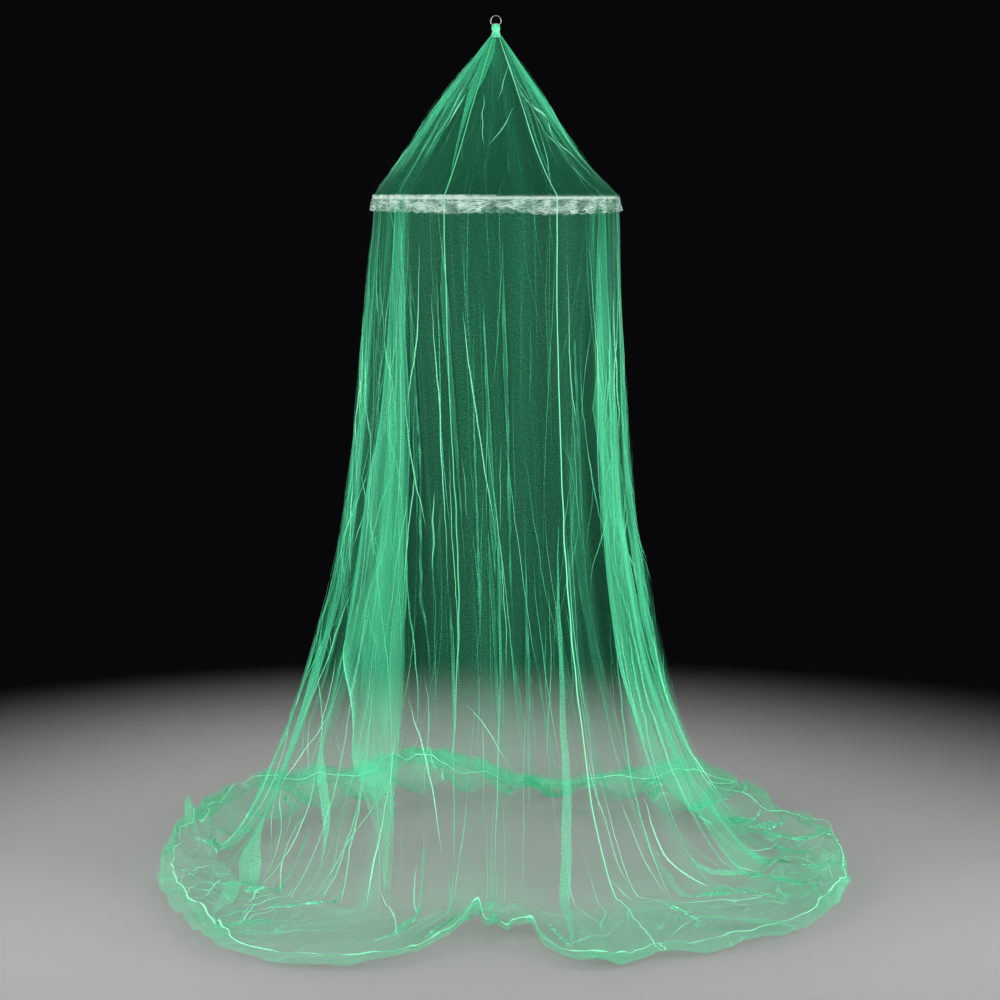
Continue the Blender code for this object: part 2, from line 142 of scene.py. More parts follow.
FOLD_COUNT = len(FOLDS)
BACK_SEAM = 13
print(FOLD_COUNT, "main folds, seams at folds 0 and", BACK_SEAM)


# %% [markdown]
# The table's columns become smooth closed curves of u. A cone and a bell, turned round the middle line,
# give the net without folds, and the folds are pushed out from it along its own normal.

# %% The smooth net and its main folds
def around(name, u):
    """Column of the fold table as a smooth closed curve of u: cubic pieces that pass through its rows."""
    values = FOLD[name]
    rows = np.floor(u).astype(int)
    f = u - rows
    turn = 360.0 if name in AZIMUTHS else 0.0

    def row(step):
        index = rows + step
        return values[index % FOLD_COUNT] + turn * (index // FOLD_COUNT)

    a, b, c, d = row(-1), row(0), row(1), row(2)
    return b + 0.5 * f * (c - a + f * (2 * a - 5 * b + 4 * c - d + f * (3 * (b - c) + d - a)))


def ease(value, low, high):
    """Smooth step: 0 below low, 1 above high, and 3 t squared less 2 t cubed between them."""
    t = np.clip((value - low) / (high - low), 0, 1)
    return t * t * (3 - 2 * t)


def azimuth(u, s):
    """Direction of fold u at level s, in radians: the four azimuths of the table, eased down the net."""
    degrees = around("hoop", u)
    for upper, lower, start, end in TURNS:
        degrees = degrees + (around(lower, u) - around(upper, u)) * ease(s, start, end)
    return np.radians(degrees)


def turned(radius, angle, height):
    """Points at a radius, an azimuth counted from the front, and a height over the floor."""
    x, y, z = np.broadcast_arrays(radius * np.sin(angle), -radius * np.cos(angle), height + FLOOR_Z)
    return np.stack((x, y, z), axis=-1)


def smooth_net(u, s):
    """Net without folds: a cone that sags with t squared times (1 - t), a bell whose radius grows
    exponentially towards the floor, a soft bend at the foot and a flat pool."""
    angle = azimuth(u, s)
    foot_r = around("foot_r", u)
    edge_r = around("hem_r", u) - TURN_RADIUS
    t = np.clip(s, 0, 1)
    sag = ROOF_SAG + ROOF_SAG_SIDE * np.sin(angle)
    roof_r = NECK_RADIUS + (NET_RADIUS - NECK_RADIUS) * (t - sag * t * t * (1 - t))
    drop = HOOP_HEIGHT * (2 - np.clip(s, 1, 2))
    decay = BELL + BELL_SIDE * np.sin(angle)
    rest = np.exp(-HOOP_HEIGHT / decay)
    flare = (np.exp(-drop / decay) - rest) / (1 - rest)
    out = (edge_r - foot_r) * np.maximum(s - 2, 0)
    radius = np.where(s < 1, roof_r, NET_RADIUS + (foot_r - NET_RADIUS) * flare + out)
    line = drop - out
    surplus = REST + (math.hypot(HOOP_HEIGHT, FOOT_SOFTNESS) - HOOP_HEIGHT) / 2
    height = REST + (line + np.sqrt(line ** 2 + FOOT_SOFTNESS ** 2)) / 2
    height -= surplus * np.clip(line / HOOP_HEIGHT, 0, 1)
    height = np.where(s < 1, NECK_HEIGHT + (HOOP_HEIGHT - NECK_HEIGHT) * t, height)
    return turned(radius, angle, height)


def unit(vectors):
    """Vectors divided by their own lengths."""
    return vectors / np.maximum(np.linalg.norm(vectors, axis=-1, keepdims=True), 1e-12)


def slope_round(u, s):
    """The smooth net's tangent along u, as the difference over a small step both ways."""
    return smooth_net(u + STEP, s) - smooth_net(u - STEP, s)


def normal_and_way(u, s):
    """The smooth net's outward normal and its way round: the normal is the cross product of the
    tangents down and round it."""
    along_u = slope_round(u, s)
    along_s = smooth_net(u, np.minimum(s + STEP, 4)) - smooth_net(u, np.maximum(s - STEP, 0))
    return unit(np.cross(along_s, along_u)), unit(along_u)


def bunched(u, s, full=2.95):
    """1 where the long hem is pushed together into a soft roll: round the pool's back and sides, from
    the level 2.4 and in full from the level full outwards."""
    back = 0.5 - 0.5 * np.cos(azimuth(u, s))
    return ease(back, 0.15, 0.55) * ease(s, 2.4, full)


def folded_net(u, s):
    """Smooth net pushed along its normal by a raised cosine round each crest, and leaned sideways. On
    the floor the folds get a quarter of their height lower with each level."""
    crest = np.round(u).astype(int)
    shape = (0.5 + 0.5 * np.cos(FULL_TURN * (u - crest))) ** CREST
    out, ridge, lean = (FOLD[name][crest % FOLD_COUNT] / 1000 for name in ("out", "ridge", "lean"))
    on_skirt = np.interp(s, *SKIRT_FOLDING)
    on_floor = ease(s, *FLOOR_FOLDING) * np.minimum(1, 1 - (s - FLOOR_FOLDING[1]) / 4)
    on_floor *= 1 - HEM_CALM * bunched(u, s, 2.8)
    push = shape * (out * (np.interp(s, *ROOF_FOLDING) + on_skirt) + ridge * on_floor)
    push -= TROUGH * around("out", u) / 1000 * on_skirt
    sideways = shape * lean * (on_skirt + on_floor)
    normal, along = normal_and_way(u, s)
    return smooth_net(u, s) + push[..., None] * normal + sideways[..., None] * along


front = folded_net(np.zeros(4), np.arange(4.0))
print("front seam at the levels 0 to 3, y and z:", front[:, 1:].round(3).tolist())

# %% [markdown]
# ## Fine folds
# Seen close, each main fold holds many small ones, and they are what makes sheer net show: where the
# cloth doubles over, two or three layers add up to a bright edge. Two tools make them. A laid pleat
# shifts the cloth sideways until it overlaps itself. Smooth random waves, longer down the net than
# across it, push it in and out. Both have fixed seeds, so the net is the same each time.

# %% Smooth random waves
NOISE_ROWS = 64
WANDER_CELLS, WANDER_WIDTH, WANDERS_PER_LEVEL = 15, 0.7, 3.0


def soft_noise(x, y, period, seed):
    """Random heights between -1 and 1 at whole numbers, blended by a smooth step; period wraps x."""
    table = np.random.default_rng(seed).uniform(-1, 1, (period, NOISE_ROWS))
    column, row = np.floor(x).astype(int), np.floor(y).astype(int)
    across, down = ease(x - column, 0, 1), ease(y - row, 0, 1)

    def corner(right, below):
        return table[(column + right) % period, (row + below) % NOISE_ROWS]

    upper = corner(0, 0) + across * (corner(1, 0) - corner(0, 0))
    lower = corner(0, 1) + across * (corner(1, 1) - corner(0, 1))
    return upper + down * (lower - upper)


def waves(q, s, per_fold, per_level, seed):
    """Waves across the folds that wander slowly on the way down."""
    cells = q * WANDER_CELLS / FOLD_COUNT
    wander = WANDER_WIDTH * soft_noise(cells, s * WANDERS_PER_LEVEL, WANDER_CELLS, seed + 50)
    return soft_noise(q * per_fold + wander, s * per_level, int(FOLD_COUNT * per_fold), seed)


def bundled(u, s):
    """1 in the two dense bundles at the sides and 0 in the open front and back, with soft ends. Lower
    down, the bundles' back ends draw about 3 folds towards the front."""
    u = np.mod(u, FOLD_COUNT)
    low = ease(s, 1.35, 1.75)
    right = ease(u, 1.6, 2.1) * (1 - ease(u + 3.2 * low, 8.2, 9.2))
    left = ease(u - 3.0 * low, 14.6, 15.4) * (1 - ease(u, 22.7, 23.0))
    return right + left


folds = np.arange(FOLD_COUNT)
print("folds in the bundles at the hoop", folds[bundled(folds, np.ones(FOLD_COUNT)) > 0.5].tolist())

# %% [markdown]
# The large pleats are placed from the photograph, a few points each: the level, the middle of
# the pleat in folds and its width in folds. The small ones are drawn at random, and none of them may
# touch a large one or a seam.

# %% Laid pleats
# name: points of (level, middle, width)
LAID_PLEATS = {
    "roof back": ((0.05, 14.8, 1.2), (0.25, 14.9, 1.0), (0.5, 14.9, 0.4), (0.8, 14.9, 0.0)),
    "roof right": ((0.05, 4.2, 2.2), (0.4, 4.3, 1.7), (0.7, 4.3, 1.0), (0.92, 4.3, 0.3), (1.1, 4.4, 0.4),
                   (1.5, 4.6, 0.0)),
    "roof left": ((0.05, 20.0, 1.0), (0.4, 20.0, 0.5), (0.7, 20.0, 0.3), (0.9, 20.0, 0.0)),
    "roof front": ((0.1, 1.2, 0.7), (0.4, 0.8, 0.4), (0.75, 0.4, 0.15), (0.95, 0.2, 0.0)),
    "left bundle": ((0.97, 21.95, 0.2), (1.12, 21.95, 0.9), (1.35, 21.95, 1.5), (1.57, 21.6, 2.2),
                    (1.74, 22.1, 1.2), (1.87, 22.7, 0.35), (2.0, 23.0, 0.0)),
    "right bundle": ((0.97, 2.75, 0.3), (1.12, 2.75, 0.9), (1.3, 2.55, 1.5), (1.5, 2.9, 1.4), (1.7, 3.1, 1.3),
                     (1.85, 3.2, 1.0), (2.05, 4.0, 0.5), (2.3, 4.4, 0.2), (2.6, 4.6, 0.0)),
    "right front fold": ((1.2, 0.9, 0.12), (1.6, 1.15, 0.16), (1.9, 1.6, 0.14), (2.5, 2.2, 0.1),
                         (2.9, 2.5, 0.0)),
}
PLEAT_ZONE = 2.05  # cloth taken up by a pleat, in widths of its overlap
PLEAT_PULL = 0.62  # sideways shift in parts of that zone
SMALL_PLEATS = 90
PLEAT_TWIST = 0.08  # how far a small pleat wanders sideways, in folds
PLEAT_POINTS = 7
PLEAT_ROOM = 0.6  # room beside another pleat, in its widths, or a seam, in folds


def pleat_list():
    """Listed pleats, then small random ones that start and end with no width."""
    placed = [np.array(points).T for points in LAID_PLEATS.values()]
    small = []
    dice = np.random.default_rng(7)
    way = np.linspace(0, 1, PLEAT_POINTS)
    while len(small) < SMALL_PLEATS:
        place = dice.uniform(0, FOLD_COUNT)
        top = dice.uniform(0.95, 2.2)
        bottom = min(top + dice.uniform(0.3, 1.0), 2.95)
        width = dice.choice((0.12, 0.18, 0.28, 0.45), p=(0.35, 0.35, 0.2, 0.1))
        slant = dice.normal(0, 0.35) * (bottom - top)
        level = np.linspace(top, bottom, PLEAT_POINTS)
        middle = place + slant * way + dice.normal(0, PLEAT_TWIST, PLEAT_POINTS).cumsum() / 3
        taper = dice.choice((0.15, 0.5, 0.85))
        shape = np.minimum(way / taper, (1 - way) / (1 - taper))
        others = [(np.interp(level, *large[:2]), np.interp(level, large[0], large[2], 0, 0))
                  for large in placed]
        others += [(seam_at, 1) for seam_at in (0, BACK_SEAM, FOLD_COUNT)]
        if all(np.all(np.abs(middle - other) > width + PLEAT_ROOM * wide) for other, wide in others):
            small.append(np.array((level, middle, width * shape)))
    return placed + small


PLEATS = pleat_list()


def folds_away(q, place):
    """How many folds q lies past a place, the short way round."""
    return np.mod(q - place + FOLD_COUNT / 2, FOLD_COUNT) - FOLD_COUNT / 2


def laid(q, s):
    """Fold coordinate of cloth column q: q less, for each pleat, its pull times a windowed sine. With it
    comes the depth, the sum of the pleats' windows, which says how much cloth is laid there.

    Where the slope of u turns negative the cloth lies back over itself, three layers deep.
    """
    u = q.copy()
    depth = np.zeros_like(q)
    for level, middle, width in PLEATS:
        rows = np.flatnonzero((s.max(axis=1) >= level[0]) & (s.min(axis=1) <= level[-1]))
        if not len(rows):
            continue
        part = slice(rows[0], rows[-1] + 1)
        zone = PLEAT_ZONE * np.interp(s[part], level, width, left=0, right=0)
        away = folds_away(q[part], np.interp(s[part], level, middle))
        x = np.clip(away / np.maximum(zone, 1e-6), -0.5, 0.5)
        window = 0.5 + 0.5 * np.cos(FULL_TURN * x)
        u[part] -= PLEAT_PULL * zone * np.sin(FULL_TURN * x) * window
        depth[part] += np.where(zone > 1e-4, window, 0)
    return u, depth


print(len(PLEATS), "laid pleats,", len(LAID_PLEATS), "placed by hand")

# %% [markdown]
# The waves are deepest in the bundles. Near the hoop the lace band holds them flat, and on the floor
# they can only stand up from it. At the back and the sides the long hem has been pushed together, so
# the cloth there arches up in puffs before it comes down again.

# %% Waves, puffs and crumples
# waves per fold and per level, seed, and height in metres in the open and added in the bundles
WAVE_SIZES = ((2, 2.2, 11, 0.004, 0.006), (5, 2.6, 12, 0.0025, 0.004), (11, 3.0, 13, 0.0010, 0.0016))
# levels, and the share of the waves' height there
WAVES_SKIRT = ((1.0, 1.06, 1.25, 1.6, 1.9, 2.1), (0.0, 0.25, 0.7, 1.0, 0.9, 0.0))
WAVES_ROOF = ((0.0, 0.08, 0.5, 0.95, 1.0), (0.0, 0.15, 0.6, 0.35, 0.0))
BUNDLE_WAVE = 0.005  # short waves that break up the bundles' lines
PUFF_HEIGHT = 0.10
# fold, share of that height, and metres that the hem lies further in, round the back
BACK_HEM = ((5.5, 0.5, 0.0), (7.0, 0.7, 0.02), (8.2, 0.85, 0.02), (9.2, 0.85, 0.05), (10.2, 0.50, 0.13),
            (11.2, 0.50, 0.13), (12.0, 0.8, 0.06), (12.6, 1.15, 0.01), (13.4, 1.15, 0.0),
            (14.1, 0.8, 0.05), (15.2, 0.70, 0.05), (16.2, 0.8, 0.04), (17.5, 0.8, 0.02), (19.5, 0.55, 0.0))
# fingers that stand up at the hem: fold, height in m, widths in folds on the low and the high side
FINGERS = ((25.75, 0.055, 0.40, 0.10), (27.10, 0.035, 0.40, 0.10), (18.7, 0.050, 0.15, 0.15),
           (22.6, 0.02, 0.2, 0.1))
CRUMPLE = 0.003


def back_hem(u, column):
    """A column of the back hem's table along the folds u: 1 is the share, 2 the way in."""
    rows = np.array(BACK_HEM).T
    return np.interp(u, rows[0], rows[column])


def fine_push(q, u, s):
    """Push along the normal in metres: three sizes of waves on skirt and roof, with shorter ones in the
    bundles. On the floor the same waves, lifted so that none goes below it, then the puffs of the
    bunched hem, small crumples and the fingers."""
    dense = bundled(u, s)
    large, middle, small = (waves(q, s, *size[:3]) for size in WAVE_SIZES)
    hanging = sum((size[3] + size[4] * dense) * wave
                  for size, wave in zip(WAVE_SIZES, (large, middle, small)))
    hanging *= np.interp(s, *WAVES_SKIRT) + np.interp(s, *WAVES_ROOF)
    pooled = 0.006 * (1 + large) * (0.4 + dense) + 0.004 * (1 + middle) + 0.0015 * (1 + small)
    heap = bunched(u, s) * back_hem(u, 1)
    lumps = 0.60 + 0.25 * waves(q, s, 0.5, 1.5, 14) + 0.06 * (1 + waves(q, s, 2, 4, 20))
    lumps *= 1.2 - 0.7 * ease(s, 2.94, 3.0)
    crumple = CRUMPLE * (1 + waves(q, s, 4, 22, 15)) * ease(s, 2.0, 2.4) * (1 + 2 * heap)
    fingers = 0
    for place, height, low, high in FINGERS:
        away = folds_away(q, place)
        fingers = fingers + height * np.exp(-(away / np.where(away < 0, low, high)) ** 2)
    hanging += BUNDLE_WAVE * dense * waves(q, s, 1, 9, 27) * ease(s, 0.97, 1.1) * (1 - ease(s, 1.8, 2.1))
    return hanging + ease(s, 1.92, 2.12) * pooled + PUFF_HEIGHT * heap * lumps + crumple \
        + fingers * ease(s, 2.3, 2.85)


print("puffs up to", PUFF_HEIGHT, "m,", len(FINGERS), "fingers at the hem")

# %% [markdown]
# Now the parts are put together. The outer edge wanders in and out, most of all in the notch at the
# front, and past level 3 the hem goes round a small half circle and lies back over the net.

# %% The whole net
HEM_WAVE = 0.009
# edge waves per fold, seed and height in metres; those of the notch stay near one fold
EDGE_WAVES = ((3, 16, HEM_WAVE), (9, 17, 0.5 * HEM_WAVE))
NOTCH_RUFFLE, NOTCH_AT, NOTCH_WIDTH = (7, 25, 0.022), 26.3, 0.9
HEM_RUMPLE = 0.006


def edge_wave(q, per_fold, seed, height):
    """Waves along the edge alone, the same at every level."""
    return height * waves(q, q * 0, per_fold, 1, seed)


def cloth_point(q, s):
    """Net at cloth column q and level s, hem not yet turned: pleated, folded, waved; its outer edge
    wanders in and out along the floor."""
    u, _ = laid(q, s)
    normal, _ = normal_and_way(u, s)
    point = folded_net(u, s) + fine_push(q, u, s)[..., None] * normal
    edge = sum(edge_wave(q, *wave) for wave in EDGE_WAVES)
    edge += edge_wave(q, *NOTCH_RUFFLE) * np.exp(-((q - NOTCH_AT) / NOTCH_WIDTH) ** 2)
    edge = edge * ease(s, 2.5, 3) - back_hem(u, 2) * ease(s, 2.2, 3)
    return point + edge[..., None] * unit(point * (1.0, 1.0, 0.0))


def doubled_net(u, s, lift):
    """Point of cloth that is folded over and lies lift in front of the net, at the fold u itself."""
    normal, _ = normal_and_way(u, s)
    return folded_net(u, s) + (fine_push(u, u, s) + lift)[..., None] * normal


def net(q, s, lift=0.0):
    """Whole net. Past level 3 the hem goes round a half circle and lies back, a little rumpled.

    There (s - 3) times the hem's width is the way from its outer fold. lift moves a point off the cloth.
    """
    hem = around("turn", q) * (1 + edge_wave(q, 2, 18, 0.35))
    travel = np.clip(s - 3, 0, 1) * hem
    bend = np.clip(travel / TURN_RADIUS, 0, math.pi)
    back = np.maximum(travel - math.pi * TURN_RADIUS, 0)
    pool = around("hem_r", q) - TURN_RADIUS - around("foot_r", q)
    level = np.minimum(s, 3) - back / pool
    normal, along = normal_and_way(q, level)
    outward = TURN_RADIUS * np.sin(bend)[..., None] * unit(np.cross(along, normal))
    rumple = (0.5 + 0.5 * waves(q, s, 6, 9, 19)) * HEM_RUMPLE * ease(s, 3.0, 3.4)
    rise = TURN_RADIUS * (1 - np.cos(bend)) + rumple + lift
    return cloth_point(q, level) + outward + rise[..., None] * normal


corner = net(np.array([[0.0]]), np.array([[4.0]]))[0, 0]
print("bound edge at the front seam", corner.round(3).tolist())

# %% [markdown]
# ## From points to a mesh
# A grid of points becomes a mesh with one square face between each four neighbours. The cloth's own
# coordinates go with it. The UV map holds real distances along the cloth in metres, for the mesh of the
# net. "lay" holds the level and two coordinates that count the creases. "gather" says how much
# cloth lies on each millimetre: it is high where pleats turn, where folds crowd, and near the neck.

# %% Mesh from a grid
def square_faces(shape, closed=False):
    """Corners of the faces of a grid, or of each grid in a stack, as rows of four point numbers."""
    index = np.arange(math.prod(shape)).reshape(shape)
    if closed:
        index = np.append(index, index[..., :1], axis=-1)
    corners = (index[..., :-1, :-1], index[..., 1:, :-1], index[..., 1:, 1:], index[..., :-1, 1:])
    return np.stack(corners, axis=-1).reshape(-1, 4)


def layer(points, across, along, **values):
    """One grid of cloth, or a stack of grids: points, UV in metres and float attributes."""
    uv = [np.broadcast_to(metres, points.shape[:-1]) for metres in (across, along)]
    return {"points": points, "uv": np.stack(uv, axis=-1), "values": values}


def joined(grids, width):
    """Grids of rows of that many numbers, one after another."""
    return np.concatenate([grid.reshape(-1, width) for grid in grids])


def cloth_mesh(name, *layers, closed=False):
    """Object from layers of cloth, with their UV and attributes; closed joins last column to first."""
    points = joined([part["points"] for part in layers], 3)
    starts = np.cumsum([0] + [part["points"].size // 3 for part in layers])
    faces = np.concatenate([square_faces(part["points"].shape[:-1], closed) + first
                            for part, first in zip(layers, starts)])
    mesh = bpy.data.meshes.new(name)
    mesh.from_pydata(points.tolist(), [], faces.tolist())
    corners = []
    for part in layers:
        uv = part["uv"]
        if closed:
            uv = np.append(uv, 2 * uv[..., -1:, :] - uv[..., -2:-1, :], axis=-2)
        corners.append(uv.reshape(-1, 2)[square_faces(uv.shape[:-1])])
    mesh.uv_layers.new(name="Cloth").data.foreach_set("uv", joined(corners, 2).ravel())
    for key, grid in layers[0]["values"].items():
        wide = grid.ndim == layers[0]["points"].ndim
        attribute = mesh.attributes.new(key, 'FLOAT_VECTOR' if wide else 'FLOAT', 'POINT')
        numbers = joined([part["values"][key] for part in layers], 1)
        attribute.data.foreach_set("vector" if wide else "value", numbers.ravel())
    mesh.shade_smooth()
    piece = place_object(name, mesh)
    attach(piece, "root")
    print(f"{name}: {len(points)} points, {2 * len(faces)} triangles")
    return piece


def arc_lengths(points, axis):
    """Distance travelled along one axis of a grid, summed from its first row or column."""
    steps = np.linalg.norm(np.diff(points, axis=axis), axis=-1)
    return np.insert(np.cumsum(steps, axis=axis), 0, 0, axis=axis)


# %% [markdown]
# ## Doubled net
# Where the real net is folded over along a narrow strip, it shows as a bright ribbon, and where it is
# pinched, as a thin crease. Waves in the one layer can't fold so sharply. So these are strips of cloth of
# their own, 3 and 4 mm in front of the net, in the same mesh. Those that the photograph shows plainly
# are listed, each as a few points along its middle.

# %% Ribbons and creases, listed one by one
# layers of net that a doubled ribbon shows, then level, fold and width in mm of points along it
RIBBONS = (
    (3.5, (1.10, 22.5, 0), (1.40, 22.3, 60), (1.58, 21.9, 130), (1.72, 22.1, 105), (1.79, 22.3, 60),
     (1.86, 22.5, 45), (1.93, 22.75, 13), (1.98, 22.9, 0)),
    (7, (1.62, 19.2, 0), (1.92, 19.77, 58), (1.98, 20.23, 42), (2.35, 21.02, 36), (2.74, 21.93, 16),
     (2.86, 22.25, 0)),
    (7, (1.60, 20.6, 0), (1.80, 20.95, 16), (1.86, 21.3, 20), (1.91, 21.48, 10), (1.95, 21.62, 0)),
    (7, (2.80, 21.3, 0), (2.87, 21.8, 28), (2.94, 22.55, 6)),
    (7, (1.45, 28.8, 0), (1.78, 28.45, 20), (1.85, 28.4, 26), (1.91, 28.2, 22), (1.96, 28.0, 28),
     (2.0, 27.98, 20), (2.29, 27.73, 12),
     (2.57, 27.95, 10), (2.75, 27.9, 14), (2.92, 27.5, 0)),
    (7, (1.60, 1.9, 0), (1.80, 2.1, 14), (1.89, 2.28, 20), (1.93, 2.35, 22), (1.99, 2.4, 0)),
    (7, (1.80, 2.1, 0), (1.94, 2.23, 14), (1.97, 2.62, 14), (2.0, 3.1, 14), (2.15, 3.6, 16),
     (2.33, 3.8, 18), (2.58, 3.43, 16), (2.81, 2.45, 20), (2.95, 2.15, 0)),
    (7, (2.45, 0.70, 0), (2.52, 1.15, 34), (2.60, 1.30, 54), (2.69, 1.50, 44), (2.86, 1.62, 0)),
    (6, (2.05, 0.50, 0), (2.21, 1.15, 12), (2.35, 1.25, 14), (2.48, 1.20, 0)),
    (3, (1.05, 2.5, 0), (1.25, 2.35, 40), (1.50, 2.6, 60), (1.75, 3.0, 50), (1.90, 3.3, 30),
     (2.05, 4.1, 0)),
    (9, (0.03, 13.1, 12), (0.12, 13.2, 28), (0.3, 13.35, 24), (0.5, 13.4, 14), (0.7, 13.2, 6),
     (0.9, 13.0, 0)),
    (9, (2.40, 25.48, 0), (2.61, 25.60, 12), (2.81, 25.48, 18), (2.97, 25.30, 4)),
    (9, (2.38, 26.05, 0), (2.55, 26.12, 10), (2.75, 26.20, 14), (2.97, 26.15, 4)),
    (9, (2.39, 27.18, 0), (2.63, 27.27, 12), (2.78, 27.42, 16), (2.96, 27.60, 4)),
    (9, (2.60, 26.80, 0), (2.80, 26.65, 14), (2.97, 26.50, 6)),
)
# level and fold of points along the thin creases
CREASES = (
    ((0.20, 28.8), (0.32, 27.3), (0.43, 26.5)), ((0.46, 28.3), (0.59, 26.9), (0.71, 26.0)),
    ((0.29, 0.05), (0.51, 1.2), (0.80, 2.2)), ((0.25, 0.5), (0.45, 1.5), (0.70, 2.6), (0.95, 3.4)),
    ((0.10, 23.0), (0.40, 22.6), (0.70, 22.9)), ((0.15, 24.0), (0.45, 23.3), (0.62, 23.2)),
    ((0.30, 22.0), (0.60, 21.5), (0.97, 21.6)), ((0.08, 21.0), (0.35, 20.6), (0.97, 20.4)),
    ((1.06, 23.65), (1.19, 23.43), (1.31, 23.02)), ((1.13, 24.15), (1.28, 24.25), (1.56, 24.15)),
    ((1.16, 25.23), (1.25, 25.38), (1.38, 25.73), (1.48, 26.15)), ((1.08, 0.50), (1.26, 0.65), (1.33, 0.90)),
    ((1.70, 23.02), (1.79, 23.38), (1.83, 23.60), (1.92, 23.85)), ((1.71, 24.6), (1.75, 25.6), (1.80, 26.7)),
    ((2.08, 0.68), (2.14, 1.57), (2.41, 1.80), (2.63, 2.32), (2.79, 2.43)),
    ((1.89, 2.82), (1.93, 3.18), (1.98, 3.50), (2.07, 3.82)),
    ((1.94, 4.3), (2.11, 5.2), (2.56, 5.08), (2.97, 4.53)),
    ((1.97, 3.7), (2.09, 4.62), (2.50, 4.80), (2.81, 3.98), (2.91, 3.03)),
    ((1.78, 0.05), (1.84, 0.12), (1.88, 0.45), (1.94, 0.43), (1.97, 0.60)),
    ((1.96, 0.0), (1.99, 0.33), (2.09, 0.62)), ((1.85, 1.0), (1.89, 1.18), (1.94, 1.30), (1.99, 1.45)),
    ((1.85, 1.78), (1.91, 1.73), (1.94, 1.73), (1.97, 1.90), (2.05, 2.15), (2.34, 1.90)),
    ((2.92, 27.52), (2.57, 28.0), (2.60, 28.2), (2.35, 28.68)), ((2.70, 0.20), (2.51, 0.70), (2.48, 1.0)),
    ((1.96, 22.7), (2.03, 23.05), (2.60, 24.15)), ((2.89, 20.9), (2.50, 20.18), (2.15, 19.88)),
    ((2.68, 22.07), (2.21, 21.18), (1.98, 21.05)), ((2.73, 22.35), (2.25, 21.43), (1.98, 21.32)),
    ((2.83, 22.55), (2.68, 22.3), (2.25, 21.52)), ((2.77, 21.6), (2.41, 20.88), (2.0, 20.38)),
    ((1.96, 20.57), (1.93, 20.75), (1.88, 21.07)), ((1.80, 22.6), (1.94, 22.5), (1.99, 22.58)),
    ((1.55, 18.9), (1.75, 19.0), (1.85, 18.65), (1.93, 18.68), (2.0, 18.75), (2.48, 19.02), (2.81, 20.27)),
)
CREASE_WIDTH = 2.8  # mm
CREASE_STRENGTH = 20.0  # how many layers of net a placed crease shows
print(len(RIBBONS), "ribbons and", len(CREASES), "creases placed by hand")

# %% [markdown]
# Many faint creases are drawn at random, most of them in the bundles. Every line is then set out at
# even steps, rounded off at its corners, led a little astray and widened to a strip, and the strip is
# laid in front of the net.

# %% Random creases and strips of net
STRIP_POINTS = 28
STRIP_ROUNDING = 6  # passes that round off a strip's corners
FOLD_METRES = 0.12  # a fold's width, roughly, for even steps along a slanting strip
# how a strip wanders: metres aside, turns for each metre down, shift for each fold, step of the seed
STRIP_WANDERS = ((0.0022, 9, 3, 0), (0.0012, 35, 7, 1))
LEVEL_MARKS = (0, 1, 2, 3)
DOWN_MARKS = (0, 0.48, 2.15, 2.48)  # metres down the cloth at those levels, roughly
# name: how many, levels of the start, levels long, slant in folds a level, share kept where it is open
STRAYS = {
    "upper": (110, (1.0, 1.35), (0.10, 0.5), 1.2, 0.25),
    "lower": (200, (1.3, 1.85), (0.10, 0.5), 1.5, 0.45),
    "crossing": (170, (1.0, 1.7), (0.12, 0.35), 3.0, 0.0),
    "pooled": (260, (1.9, 2.7), (0.10, 0.55), 1.2, 0.30),
    "roof": (110, (0.1, 0.8), (0.15, 0.6), 0.9, 0.08),
}
# share of a stray crease's width at even steps along it
STRAY_SHAPE = (0, 0.8, 1, 1, 0.8, 0)
# on the right of the pool the creases sweep sideways: by how many folds, at which, and how far round
SWEEP, SWEEP_AT, SWEEP_WIDTH = 1.9, 3.6, 2.4


def sweep(u, s):
    """How far the creases sweep aside, in folds: a bell round one fold, eased in down the pool."""
    return SWEEP * ease(s, 1.85, 2.9) * np.exp(-((u - SWEEP_AT) / SWEEP_WIDTH) ** 2)


def crease_places(u, s):
    """Two coordinates whose whole numbers are creases, with the level between them: seven a fold that
    run down the cloth, and four a fold that slant across it, both led astray by smooth noise."""
    u = u - sweep(u, s)
    down = 7 * u + 1.2 * soft_noise(u, s * 2.4, 29, 41) + 0.4 * soft_noise(u * 3, s * 7, 87, 42)
    slanting = 4 * u + 5.0 * soft_noise(u * 0.35, s * 3.0, 11, 43) + 0.5 * soft_noise(u * 2, s * 7, 58, 44)
    return np.stack((down, s, slanting), axis=-1)


def stray_creases():
    """Creases at random: each starts somewhere and wanders down with its own slant, width, strength."""
    dice = np.random.default_rng(31)
    count = len(STRAY_SHAPE)
    lines = []
    for tries, (first, last), (short, long), slant, kept in STRAYS.values():
        lowest = 1.0 if first < 1 else 2.9
        for _ in range(tries):
            place, top = dice.uniform(0, FOLD_COUNT), dice.uniform(first, last)
            level = np.linspace(top, min(top + dice.uniform(short, long), lowest), count)
            drift = dice.normal(0, slant) * (level - top) + dice.normal(0, 0.05, count).cumsum()
            drift += sweep(place, level)
            width = dice.choice((1.2, 1.8, 2.6), p=(0.4, 0.4, 0.2)) * np.array(STRAY_SHAPE)
            strength = CREASE_STRENGTH * dice.uniform(0.15, 0.9)
            swept = (top > 1.9) * sweep(place, 3) / SWEEP
            if bundled(place, top) > 0.5 or dice.uniform() < max(kept, swept):
                lines.append((np.stack((level, place + drift, width), axis=-1), strength))
    return lines


def placed_creases():
    """The creases of the table, as wide as CREASE_WIDTH and running out to nothing at both ends."""
    lines = []
    for points in CREASES:
        width = np.full(len(points), CREASE_WIDTH)
        width[[0, -1]] = 0
        lines.append((np.column_stack((points, width)), CREASE_STRENGTH))
    return lines


